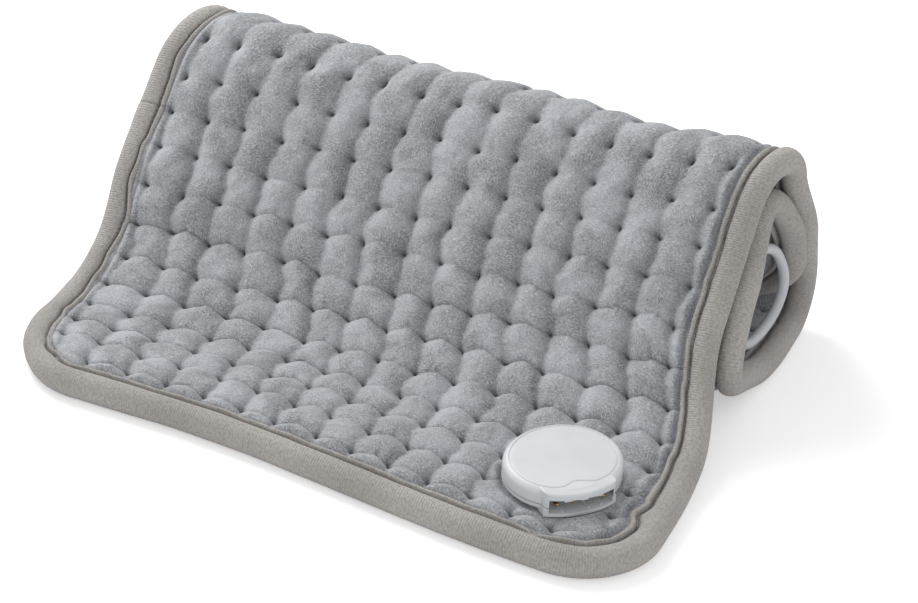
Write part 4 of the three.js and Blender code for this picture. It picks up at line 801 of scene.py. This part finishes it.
# Plush: how many of each pattern go in a metre, how far its pile leans, and its colours
PLUSH_LEANS = 46
PLUSH_LEAN = 0.004
PLUSH_LEAN_OFFSET = (0.31, 0.17, 0)
PLUSH_PILE = 1750
PLUSH_PILE_TURNS = 90
PLUSH_CLUMPS = 420
PLUSH_PATCHES = 38
PLUSH = (srgb(163, 165, 169), srgb(188, 191, 196))
PLUSH_ROOTS = srgb(94, 96, 101)
PLUSH_CLUMP_ROOTS = srgb(114, 116, 121)
PLUSH_TIPS = srgb(240, 242, 246)
# The dark and light colours of the painted shade and painted light on the plush's flanks
PLUSH_FLANK_SHADING = (srgb(84, 86, 91), srgb(232, 234, 239))
# The colour of the painted shade in the plush's tufts, creases, columns and seam
PLUSH_PAINTED_SHADE = srgb(60, 62, 68)
PLUSH_SHEEN = srgb(232, 233, 236)


def plush_material():
    m = material_nodes("plush")
    uv = m.uv()
    lean = m.noise(uv, PLUSH_LEANS, detail=1.5)
    lean_aside = m.noise(m.stretched(uv, (1.0, 1.0, 1.0), PLUSH_LEAN_OFFSET), PLUSH_LEANS, detail=1.5)
    leans = {i: m.math("MULTIPLY", amount, PLUSH_LEAN) for i, amount in enumerate((lean, lean_aside))}
    place = m.add("VectorMath", {0: uv, 1: m.add("CombineXYZ", leans)})

    # Pile that lies along the pad in some patches and across it in others, in clumps
    along, across = (
        m.noise(m.stretched(place, squeeze), PLUSH_PILE, roughness=0.6, distortion=0.25)
        for squeeze in ((1.0, 0.45, 1.0), (0.45, 1.0, 1.0))
    )
    turned = m.ramp(m.noise(uv, PLUSH_PILE_TURNS, detail=1.0), 0.44, 0.56)
    pile = m.add("Mix", {0: turned, 2: along, 3: across})
    clumped = m.stretched(place, (1.0, 0.7, 1.0))
    clumps = m.noise(clumped, PLUSH_CLUMPS, roughness=0.6, distortion=0.3)
    patches = m.noise(uv, PLUSH_PATCHES, detail=2.5, roughness=0.55, distortion=0.6)

    # Colour: patches, roots between the clumps and the fibres, pale tips, painted light and shade on the
    # pillows' flanks, and painted shade in the creases
    base = m.mix(m.ramp(patches, 0.38, 0.62), *PLUSH)
    grain = m.ramp(patches, 0.4, 0.62, out_low=1.0, out_high=0.5)
    shade = m.math("MULTIPLY", m.ramp(clumps, 0.34, 0.64, out_low=0.34, out_high=0.0), grain)
    base = m.mix(shade, base, PLUSH_CLUMP_ROOTS)
    shade = m.math("MULTIPLY", m.ramp(pile, 0.30, 0.52, out_low=0.62, out_high=0.0), grain)
    base = m.mix(shade, base, PLUSH_ROOTS)
    base = m.mix(m.ramp(pile, 0.50, 0.72, out_high=0.5), base, PLUSH_TIPS)
    # Painted light and shade on the flanks of the pillows, from their slope
    painted_flank_shading = m.field("painted_flank_shading")
    base = m.mix(m.ramp(painted_flank_shading, 0.5, 1.0, out_high=0.5), base, PLUSH_FLANK_SHADING[0])
    base = m.mix(m.ramp(painted_flank_shading, 0.0, 0.5, out_low=0.32, out_high=0.0), base, PLUSH_FLANK_SHADING[1])
    # Painted shade: darker in the tufts, creases, columns and seam, by how deep they lie
    base = m.mix(m.math("MULTIPLY", m.field("painted_shade"), 0.85, True), base, PLUSH_PAINTED_SHADE)
    coarse = m.bump(clumps, strength=0.5, distance=0.0011)
    normal = m.bump(pile, strength=0.75, distance=0.0007, under=coarse)
    return m.finish(
        Base_Color=base, Roughness=0.95, Normal=normal, Sheen_Weight=0.85, Sheen_Roughness=0.4,
        Sheen_Tint=PLUSH_SHEEN, Specular_IOR_Level=0.12,
    )


# Tape: how many of each pattern go in a metre, and its colours
TAPE_RIBS = 262
TAPE_KNIT = 1500
TAPE_FIBRES = 640
TAPE_PATCHES = 26
TAPE = (srgb(176, 171, 166), srgb(195, 190, 185))
TAPE_RIB_TOPS = srgb(214, 209, 204)
TAPE_KNIT_GAPS = srgb(116, 112, 108)
TAPE_FIBRE_GAPS = srgb(102, 99, 96)
# The colour of the painted shade in the tape's groove and stitch dips
TAPE_PAINTED_SHADE = srgb(66, 64, 62)


def tape_material():
    m = material_nodes("binding_tape")
    uv = m.uv()
    ribs = m.add("TexWave", {"Vector": uv, "Scale": TAPE_RIBS, "Distortion": 1.1}, "Fac")
    knit = m.noise(m.stretched(uv, (1.0, 0.4, 1.0)), TAPE_KNIT, roughness=0.6)
    rough = m.noise(uv, TAPE_FIBRES, detail=3.0, roughness=0.62)
    patches = m.noise(uv, TAPE_PATCHES)
    base = m.mix(m.ramp(patches, 0.35, 0.65), *TAPE)
    base = m.mix(m.math("MULTIPLY", ribs, 0.34), base, TAPE_RIB_TOPS)
    base = m.mix(m.ramp(knit, 0.3, 0.55, out_low=0.35, out_high=0.0), base, TAPE_KNIT_GAPS)
    base = m.mix(m.ramp(rough, 0.3, 0.6, out_low=0.34, out_high=0.0), base, TAPE_FIBRE_GAPS)
    # Painted shade in the groove, darkest at its stitches
    base = m.mix(m.math("MULTIPLY", m.field("painted_shade"), 0.75, True), base, TAPE_PAINTED_SHADE)
    coarse = m.bump(rough, strength=0.4, distance=0.0006)
    normal = m.bump(ribs, strength=0.6, distance=0.0004, under=coarse)
    return m.finish(
        Base_Color=base, Roughness=0.92, Normal=normal, Sheen_Weight=0.2, Sheen_Roughness=0.5,
        Specular_IOR_Level=0.15,
    )


def shaded(colour, share):
    return tuple(c * share for c in colour[:3]) + (1.0,)


def moulded_material(name, colour, roughness, grain=0.00004):
    m = material_nodes(name)
    place = m.object()
    fine = m.noise(place, scale=2600)
    broad = m.noise(place, scale=60)
    return m.finish(
        Base_Color=m.mix(m.ramp(broad, 0.3, 0.7), shaded(colour, 0.93), colour),
        Roughness=m.ramp(broad, 0.3, 0.7, roughness * 0.9, roughness * 1.15),
        Normal=m.bump(fine, strength=0.25, distance=grain),
    )


def metal_material(name, colour, roughness):
    m = material_nodes(name)
    brushed = m.noise(m.stretched(m.object(), (1.0, 1.0, 9.0)), scale=900, detail=3.0, roughness=0.6)
    return m.finish(
        Base_Color=m.mix(m.ramp(brushed, 0.3, 0.7), shaded(colour, 0.8), colour),
        Metallic=1.0,
        Roughness=m.ramp(brushed, 0.3, 0.7, roughness * 0.8, roughness * 1.3),
        Normal=m.bump(brushed, strength=0.2, distance=0.00003),
    )


def felt_material(name, light, dark):
    m = material_nodes(name)
    fibres = m.noise(m.object(), scale=1500, detail=4.0, roughness=0.65, distortion=1.0)
    return m.finish(
        Base_Color=m.mix(m.ramp(fibres, 0.35, 0.65), dark, light), Roughness=0.95,
        Normal=m.bump(fibres, strength=0.5, distance=0.0004),
    )


SLOT_LOOKS = {
    "plush": plush_material(),
    "binding_tape": tape_material(),
    "shell": moulded_material("white_shell", srgb(225, 229, 232), 0.36),
    "cord": moulded_material("cord_sheath", srgb(208, 211, 215), 0.45, 0.00006),
    "key": moulded_material("key_rubber", srgb(140, 145, 152), 0.55, 0.00008),
    "dark_plastic": moulded_material("dark_plastic", srgb(44, 46, 51), 0.45),
    "board": moulded_material("board", srgb(46, 108, 70), 0.5),
    "lens": moulded_material("smoked_lens", srgb(24, 30, 36), 0.12, 0.00001),
    "heater_wire": moulded_material("heater_sheath", srgb(186, 108, 76), 0.55),
    "contacts": metal_material("brass", srgb(196, 152, 82), 0.28),
    "metal": metal_material("steel", srgb(188, 190, 194), 0.3),
    "felt": felt_material("felt", srgb(222, 218, 210), srgb(190, 186, 178)),
}
for entry in frame["record"]["subparts"]:
    node = frame["nodes"][entry["node"]]
    node.data.materials.clear()
    node.data.materials.append(SLOT_LOOKS[entry["material_slot"]])


def dress(obj, slot, *nodes):
    obj.data.materials.clear()
    obj.data.materials.append(SLOT_LOOKS[slot])
    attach(obj, BODY)
    if nodes:
        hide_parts(*nodes)
    return obj


free_cord(
    "mains_cord", cord_points(MAINS_START, 1, MAINS_TURNS, MAINS_LOOP, plug_height(*MAINS_PLUG)),
    ("mains_cord_lead", "mains_cord_coil", "mains_cord_loose_turn"),
)
free_cord(
    "pad_cord", pad_points(), ("pad_cord_lead", "pad_cord_coil", "pad_cord_loose_turn"),
)
spacing = COVER_STEP
for name, side, step, seed, node in (
    ("plush_top", 1, spacing, 11, "pad_top_cover"),
    ("plush_bottom", -1, 1.5 * spacing, 47, "pad_bottom_cover"),
):
    cover = dress(quilted_cover(name, side, step, seed), "plush", node)

# Heating layer, which follows the soft roll too
HEATER_INSET = 15.0
CARRIER_POINTS = (92, 194)
CARRIER_LEVEL = -1.1
CARRIER_SLACK = 0.5
CARRIER_THICK = 0.8
WIRE_PITCH = 3 * PITCH_S
WIRE_RETURN = WIDTH / 2 - HEATER_INSET - 4.5
WIRE_REACH = WIRE_RETURN - 6.0 - WIRE_PITCH / 2
WIRE_FIRST = QUILT_MARGIN + PITCH_S
WIRE_RUNS = 10
WIRE_TAG = SOCKET[0] - 20.5
WIRE_R = 0.9
WIRE_LEVEL = 0.3
WIRE_STEP = 3
WIRE_SIDES = 8
WIRE_TURN_POINTS = 17


def carrier_piece():
    x, s = pad_grid(HEATER_INSET, *CARRIER_POINTS)
    points = rolled(x, s, CARRIER_LEVEL)
    return thin_sheet("felt_carrier", x, s, points, HEATER_INSET - CARRIER_SLACK, True, CARRIER_THICK)


def wire_route():
    """Runs of the heating wire on the flat pad: to and fro across it, and back along one side."""
    route = [(WIRE_TAG, WIRE_FIRST)]
    side = -1
    for run in range(WIRE_RUNS):
        distance = WIRE_FIRST + run * WIRE_PITCH
        route.append((side * WIRE_REACH, distance))
        if run == WIRE_RUNS - 1:
            break
        for angle in np.linspace(0, math.pi, WIRE_TURN_POINTS)[1:]:
            route.append((
                side * (WIRE_REACH + WIRE_PITCH / 2 * math.sin(angle)),
                distance + WIRE_PITCH / 2 * (1 - math.cos(angle)),
            ))
        side = -side
    last = WIRE_FIRST + (WIRE_RUNS - 1) * WIRE_PITCH
    route += [
        (side * WIRE_RETURN, last - WIRE_PITCH / 4), (side * WIRE_RETURN, QUILT_MARGIN + WIRE_PITCH / 4),
        (side * WIRE_REACH, QUILT_MARGIN), (WIRE_TAG, QUILT_MARGIN),
    ]
    return np.array(route)


def wire_piece():
    route = wire_route()
    runs = line_runs(route)
    places = np.linspace(0, runs[-1], int(runs[-1] / WIRE_STEP))
    x, s = (np.interp(places, runs, column)[:, None] for column in route.T)
    dx, ds = np.gradient(x, axis=0), np.gradient(s, axis=0)
    size = np.hypot(dx, ds)
    angle = np.linspace(0, math.tau, WIRE_SIDES, endpoint=False)
    across = WIRE_R * np.cos(angle)
    points = rolled(x - ds / size * across, s + dx / size * across, WIRE_LEVEL + WIRE_R * np.sin(angle))
    return make_mesh("heater_runs", points, capped_tube(len(places), WIRE_SIDES))


dress(carrier_piece(), "felt", "heating_carrier")
dress(wire_piece(), "heater_wire", "heating_wire")

# Binding, round an outline of straight sides and corner arcs
SIDE_RUN = LENGTH - 2 * CORNER
END_RUN = WIDTH - 2 * CORNER
ARC = CORNER * math.pi / 2
PERIMETER = 2 * (SIDE_RUN + END_RUN) + 4 * ARC


def outline_place(t, inset):
    """Point of the flat pad's outline at a run from the middle of its front edge, and set in from it."""
    t = np.mod(t + END_RUN / 2, PERIMETER)
    x, s = np.zeros_like(t), np.zeros_like(t)
    centre = np.array((CORNER - WIDTH / 2, CORNER))
    start = 0.0
    for quarter, side in enumerate((END_RUN, SIDE_RUN, END_RUN, SIDE_RUN)):
        heading = unit(quarter * math.pi / 2)
        along = np.clip(t - start, 0, side)
        turned = quarter * math.pi / 2 + np.clip(t - start - side, 0, ARC) / CORNER
        x = np.where(t >= start, centre[0] + along * heading[0] + (CORNER - inset) * np.sin(turned), x)
        s = np.where(t >= start, centre[1] + along * heading[1] - (CORNER - inset) * np.cos(turned), s)
        centre = centre + side * heading
        start += side + ARC
    return x, s


# The tape's profile: distance in from the pad's outline, and height off its middle
LIP = [(14.3, 3.0), (14.25, 4.5), (14.0, 5.3), (13.5, 5.7), (12.9, 5.7), (12.45, 5.3), (12.25, 4.5)]
GROOVE = [(11.95, 3.3), (11.45, 3.2), (11.0, 4.0)]
CROWN = [
    (10.3, 4.95), (9.5, 5.75), (8.4, 6.3), (7.1, 6.55), (5.7, 6.45), (4.3, 6.05), (3.0, 5.35), (1.9, 4.35),
    (1.0, 3.1), (0.35, 1.6), (0.0, 0.0),
]
CORE = [(6.0, -1.0), (6.0, 1.0)]

# How the tape varies: its lip's sway, its ripples and swells, a pucker, its join and its stitches, with
# painted shade in its groove that is darkest at the stitches
TAPE_STEP = 1.15
LIP_INSETS = (8.0, 12.5)
LIP_SWAY = 0.7
LIP_SWAY_LEFT = 1.0
SWAY_ACROSS = (60, 150)
SWAY_CELL = 11
LIP_SHIVER = 0.3
SHIVER_CELL = 4
LIP_RIPPLE = 0.28
RIPPLE_CELL = 5
CROWN_SWELL = 0.2
SWELL_CELL = 22
PUCKER_PLACE = PERIMETER + 108
PUCKER_WIDTH = 3.2
PUCKER_IN = 2.0
PUCKER_DOWN = 0.8
SPLICE = 1.5 * END_RUN + 3 * ARC + SIDE_RUN + LENGTH - CORNER - 192
LAP = 0.55
LAP_IN = (0, 0.6)
LAP_OUT = (7, 13)
LAP_FROM = 1.2
STITCH = 2.7
STITCH_DEPTH = 0.35
STITCH_SHADE = 0.6


def binding_piece():
    half = LIP + GROOVE + CROWN
    mirrored = [(e, -n) for e, n in reversed(half[:-1])]
    profile = np.array(half + mirrored + CORE)
    marks = np.array([0.0] * len(LIP) + [1.0] * len(GROOVE) + [0.0] * len(CROWN))
    marks = np.concatenate((marks, marks[:-1][::-1], [0, 0]))
    count = int(PERIMETER / TAPE_STEP)
    t = SPLICE + np.linspace(0, PERIMETER, count, endpoint=False)[:, None]
    ring = t * math.tau / PERIMETER
    ru, rv = PERIMETER / math.tau * np.cos(ring), PERIMETER / math.tau * np.sin(ring)
    e, n = (np.broadcast_to(column, (count, len(profile))) for column in profile.T)
    side = np.sign(n)
    inner = smoothstep(e, *LIP_INSETS)
    sway = LIP_SWAY + LIP_SWAY_LEFT * smoothstep(-outline_place(t, 0.0)[0], *SWAY_ACROSS)
    for sign, seed in ((1, 70), (-1, 90)):
        here = side == sign
        wander = sway * noise(ru, rv, SWAY_CELL, seed) + LIP_SHIVER * noise(ru, rv, SHIVER_CELL, seed + 1)
        ripple = inner * LIP_RIPPLE * noise(ru, rv, RIPPLE_CELL, seed + 2)
        swell = (1 - inner) * CROWN_SWELL * noise(ru, rv, SWELL_CELL, seed + 3)
        e = e + here * inner * wander
        n = n + here * sign * (ripple + swell)
    pucker = bell(t - PUCKER_PLACE, 1, PUCKER_WIDTH) * inner * (side > 0)
    lap = smoothstep(t - SPLICE, *LAP_IN) * fade(t - SPLICE, *LAP_OUT)
    stitch = 0.5 + 0.5 * np.cos(math.tau * t / STITCH)
    e = e - PUCKER_IN * pucker
    n = n - PUCKER_DOWN * pucker
    n = n + side * (LAP * lap * (n * side > LAP_FROM) - marks * STITCH_DEPTH * stitch)
    x, s = outline_place(np.broadcast_to(t, e.shape), e)
    lengths = np.concatenate(([0], np.cumsum(np.hypot(*np.diff(profile, axis=0).T))))
    uv = np.stack(np.broadcast_arrays(t, lengths), axis=-1) / 1000
    # Painted shade in the groove, darkest in the stitches' dips
    painted_shade = np.broadcast_to(marks * (STITCH_SHADE + (1 - STITCH_SHADE) * stitch), e.shape)
    faces = grid_faces(count, len(profile), True, True)
    return make_mesh("edge_tape", rolled(x, s, n), faces, uv, {"painted_shade": painted_shade})


dress(binding_piece(), "binding_tape", "edge_binding")

# Socket: its lid's step as pairs of a distance in and a drop, its rounded edges as widths and heights
LID_DOME = 0.22
LID_SHARES = (0.25, 0.5, 0.75, 0.92)
LID_STEP = ((0.9, 0.0), (0.7, 0.05), (0.56, 0.2), (0.48, 0.42), (0.3, 0.5), (0.16, 0.42), (0.08, 0.2))
LID_POWER = 12
LID_TRIES = 16
SHELL_ROUND = (2.9, 3.0)
SHELL_POINTS = 540
SHELL_RINGS = 22
SHELL_RING_POWER = 0.8
SHELL_RING_FIRST = 0.02
OVAL_SLACK = 0.02
SIDE_HEIGHTS = (7.0, 5.4, SHELL_SPLIT + 0.25)
SHELL_LIP = 0.25
SHELL_WALL = 3
SHARP = math.radians(38)
COLLAR_ROUND = (0.8, 0.7)
COLLAR_FALL = 0.9
COLLAR_FALL_X = 19
COLLAR_SLACK = 0.25
COLLAR_POWER = 24
TINY = 1e-6
CUT_OVERRUN = 5

# What shows in its mouth: teeth under its ceiling, ribs on its floor, and the pins' brass tips
TOOTH_PLACES = (-7.0, 0.0, 7.0)
TOOTH_HALF = 1.7
TOOTH_ENDS = (-2.6, -0.15)
TOOTH_HEIGHTS = (-0.75, 0.8)
RIB_PLACES = (-8.5, 3.2, 9.2)
RIB_HALF = 0.25
RIB_END = -1.2
RIB_HEIGHTS = (1.0, 2.1)
EDGE_ROUND = 0.25
TIP_PLACES = (-10.5, -3.5, 3.5, 10.5)
TIP_RINGS = ((19.5, 0.82), (22.4, 0.82), (22.9, 0.72), (23.2, 0.5), (23.3, 0.2))
TIP_SIDES = 16


def mouth_front(y):
    return MOUTH_X - MOUTH_BOW + np.sqrt(MOUTH_BOW ** 2 - y ** 2)


def collar_reach(angle):
    """How far the mouth's collar reaches from the oval's middle."""
    c, s = np.cos(angle), np.sin(angle)
    side = np.where(s > 0, COLLAR - SOCKET_ASIDE, COLLAR + SOCKET_ASIDE) / np.maximum(np.abs(s), TINY)
    bx, by = MOUTH_BOW - MOUTH_X, SOCKET_ASIDE
    half = bx * c + by * s
    front = -half + np.sqrt(half ** 2 - bx ** 2 - by ** 2 + MOUTH_BOW ** 2)
    return np.where(c > 0, (side ** -COLLAR_POWER + front ** -COLLAR_POWER) ** (-1 / COLLAR_POWER), 0)


def lid_reach(angle, inset):
    """How far the raised lid reaches: the oval, cut by a front with a shallow dip."""
    oval = oval_reach(angle, LID_INSET + inset)
    c, s = np.cos(angle), np.sin(angle)
    front = oval
    for _ in range(LID_TRIES):
        share = np.clip((front * s + SOCKET_ASIDE) / LID_DIP_HALF, -1, 1)
        dip = LID_DIP * np.cos(share * math.pi / 2) ** 2
        front = (front + np.minimum((LID_FRONT - inset - dip) / np.maximum(c, TINY), 2 * oval)) / 2
    return np.where(c > 0, (oval ** -LID_POWER + front ** -LID_POWER) ** (-1 / LID_POWER), oval)


def quarter_round(inset, width, height):
    """Drop of a rounded edge at a distance in from it."""
    share = 1 - np.clip(inset / width, 0, 1)
    return height * (1 - np.sqrt(1 - share ** 2))


def shell_top(lx, ly, angle, radius):
    """Height of the shell outside its raised lid: the higher of its dome and its collar."""
    to_oval = oval_reach(angle) - radius
    dome = np.where(to_oval < -OVAL_SLACK, 0, SHELL_HEIGHT - quarter_round(to_oval, *SHELL_ROUND))
    inside = np.minimum(COLLAR - np.abs(ly), mouth_front(ly) - lx)
    fall = COLLAR_FALL * np.clip((lx - COLLAR_FALL_X) / (MOUTH_X - COLLAR_FALL_X), 0, 1) ** 2
    collar = SHELL_HEIGHT - fall - quarter_round(inside, *COLLAR_ROUND)
    return np.maximum(dome, np.where((inside > -COLLAR_SLACK) & (lx > MOUTH_X / 2), collar, 0))


def socket_place(lx, ly, lz):
    c, s = math.cos(SOCKET_TURN), math.sin(SOCKET_TURN)
    x, y = SOCKET[0] + c * lx - s * ly, SOCKET[1] + s * lx + c * ly
    return metres(np.stack((x, y, SOCKET_BASE + lz), axis=-1))


def box_at(name, low, high):
    corners = np.array([[(low, high)[(i >> k) & 1][k] for k in range(3)] for i in range(8)], dtype=float)
    faces = [(0, 2, 3, 1), (4, 5, 7, 6), (0, 1, 5, 4), (2, 6, 7, 3), (0, 4, 6, 2), (1, 3, 7, 5)]
    return make_mesh(name, socket_place(*corners.T), faces, smooth=False)


def cut_away(obj, cutter):
    cutting = obj.modifiers.new("cut", "BOOLEAN")
    cutting.operation = "DIFFERENCE"
    cutting.solver = "EXACT"
    cutting.object = cutter
    bpy.context.view_layer.update()
    cut_mesh = bpy.data.meshes.new_from_object(obj.evaluated_get(bpy.context.evaluated_depsgraph_get()))
    obj.modifiers.clear()
    obj.data = cut_mesh
    bpy.data.objects.remove(cutter)


def upper_shell():
    angles = np.linspace(0, math.tau, SHELL_POINTS, endpoint=False)
    outer = np.maximum(oval_reach(angles), collar_reach(angles))
    lid = lid_reach(angles, 0.0)
    rings = []

    def ring(radius, height=None):
        lx, ly = radius * np.cos(angles), radius * np.sin(angles) + SOCKET_ASIDE
        if height is None:
            height = shell_top(lx, ly, angles, radius)
        rings.append(socket_place(lx, ly, np.broadcast_to(height, lx.shape)))

    for share in LID_SHARES:
        ring(share * (lid - LID_STEP[0][0]), SHELL_HEIGHT + LID_DOME * (1 - share ** 2))
    for step, drop in LID_STEP:
        ring(lid - step, SHELL_HEIGHT - drop)
    for share in np.linspace(SHELL_RING_FIRST, 1, SHELL_RINGS):
        ring(lid + (outer - lid) * share ** SHELL_RING_POWER)
    for height in SIDE_HEIGHTS:
        ring(outer, height)
    ring(outer - SHELL_LIP, SHELL_SPLIT)
    ring(outer - SHELL_WALL, SHELL_SPLIT)
    middles = [socket_place(0.0, SOCKET_ASIDE, height) for height in (SHELL_HEIGHT + LID_DOME, SHELL_SPLIT)]
    points = np.concatenate((*rings, middles))
    faces = grid_faces(len(rings), SHELL_POINTS, False, True).tolist()
    top, low = len(points) - 2, len(points) - 1
    last = (len(rings) - 1) * SHELL_POINTS
    for i in range(SHELL_POINTS):
        j = (i + 1) % SHELL_POINTS
        faces += [(top, j, i), (low, last + i, last + j)]
    shell = make_mesh("socket_lid_shell", points, [f[::-1] for f in faces])
    mouth_low = (MOUTH_X - MOUTH_DEPTH, -MOUTH_HALF, -1)
    cut_away(shell, box_at("mouth", mouth_low, (MOUTH_X + CUT_OVERRUN, MOUTH_HALF, MOUTH_TOP)))
    shell.data.set_sharp_from_angle(angle=SHARP)
    return shell


def small_box(name, middle, half, ends, heights):
    piece = box_at(name, (ends[0], middle - half, heights[0]), (ends[1], middle + half, heights[1]))
    rounding = piece.modifiers.new("rounding", "BEVEL")
    rounding.width = EDGE_ROUND / 1000
    rounding.segments = 2
    dress(piece, "shell")


dress(upper_shell(), "shell", "socket_upper_shell")
for index, ly in enumerate(TOOTH_PLACES, 1):
    ends = [float(mouth_front(ly)) + end for end in TOOTH_ENDS]
    small_box(f"mouth_tooth_{index}", ly, TOOTH_HALF, ends, [MOUTH_TOP + height for height in TOOTH_HEIGHTS])
for index, ly in enumerate(RIB_PLACES, 1):
    ends = (MOUTH_X - MOUTH_DEPTH, float(mouth_front(ly)) + RIB_END)
    small_box(f"mouth_rib_{index}", ly, RIB_HALF, ends, RIB_HEIGHTS)
for index, ly in enumerate(TIP_PLACES, 1):
    turned = np.linspace(0, math.tau, TIP_SIDES, endpoint=False)
    rings = [
        socket_place(np.full(TIP_SIDES, lx), ly + r * np.cos(turned), PIN_HEIGHT + r * np.sin(turned))
        for lx, r in TIP_RINGS
    ]
    tip = make_mesh(f"contact_tip_{index}", np.concatenate(rings), capped_tube(len(TIP_RINGS), TIP_SIDES))
    dress(tip, "contacts")

# Floor, light and backdrop, in metres
FLOOR_HALF = 4.0
FLOOR_COLOUR = (0.93, 0.93, 0.935, 1)
FLOOR_GLOW = 0.4
SKY_LIGHT = 0.58
AIM = (0, 0, 0.05)


def pale_floor():
    """A floor that keeps shadows, with a glow that only the camera sees, which makes it white."""
    corners = [(i * FLOOR_HALF, j * FLOOR_HALF, 0) for i, j in ((-1, -1), (1, -1), (1, 1), (-1, 1))]
    floor = make_mesh("pale_floor", corners, [(0, 1, 2, 3)], smooth=False)
    m = material_nodes("pale_floor")
    m.finish(Base_Color=FLOOR_COLOUR, Roughness=0.9, Specular_IOR_Level=0.1)
    dark, glow = (m.add("Emission", {"Strength": strength}) for strength in (0.0, FLOOR_GLOW))
    shown = m.add("MixShader", {0: m.ray("Camera"), 1: dark, 2: glow})
    both = m.add("AddShader", {0: m.tree.nodes["Principled BSDF"].outputs[0], 1: shown})
    m.put(m.tree.nodes["Material Output"].inputs["Surface"], both)
    floor.data.materials.append(m.owner)


def studio_sky():
    """White where the camera or a mirror sees it, and a soft light on all else."""
    sky = Nodes(bpy.data.worlds.new("studio"))
    bpy.context.scene.world = sky.owner
    background = sky.tree.nodes["Background"]
    sky.put(background.inputs["Color"], (1, 1, 1, 1))
    mirrored = sky.math("ADD", sky.ray("Glossy"), sky.ray("Transmission"))
    shown = sky.math("ADD", sky.ray("Camera"), mirrored, True)
    sky.put(background.inputs["Strength"], sky.ramp(shown, 0.0, 1.0, SKY_LIGHT))


def area_light(name, place, size, power):
    data = bpy.data.lights.new(name, "AREA")
    data.shape = "DISK"
    data.size = size
    data.energy = power
    lamp = link(bpy.data.objects.new(name, data))
    lamp.location = place
    lamp.rotation_euler = (Vector(AIM) - Vector(place)).to_track_quat("-Z", "Y").to_euler()


pale_floor()
studio_sky()
area_light("key", place=(-0.68, 0.42, 0.86), size=0.85, power=8.6)
area_light("fill", place=(0.9, -1.1, 0.45), size=0.8, power=2.2)
bpy.context.scene.view_settings.view_transform = "Standard"

bpy.context.view_layer.update()
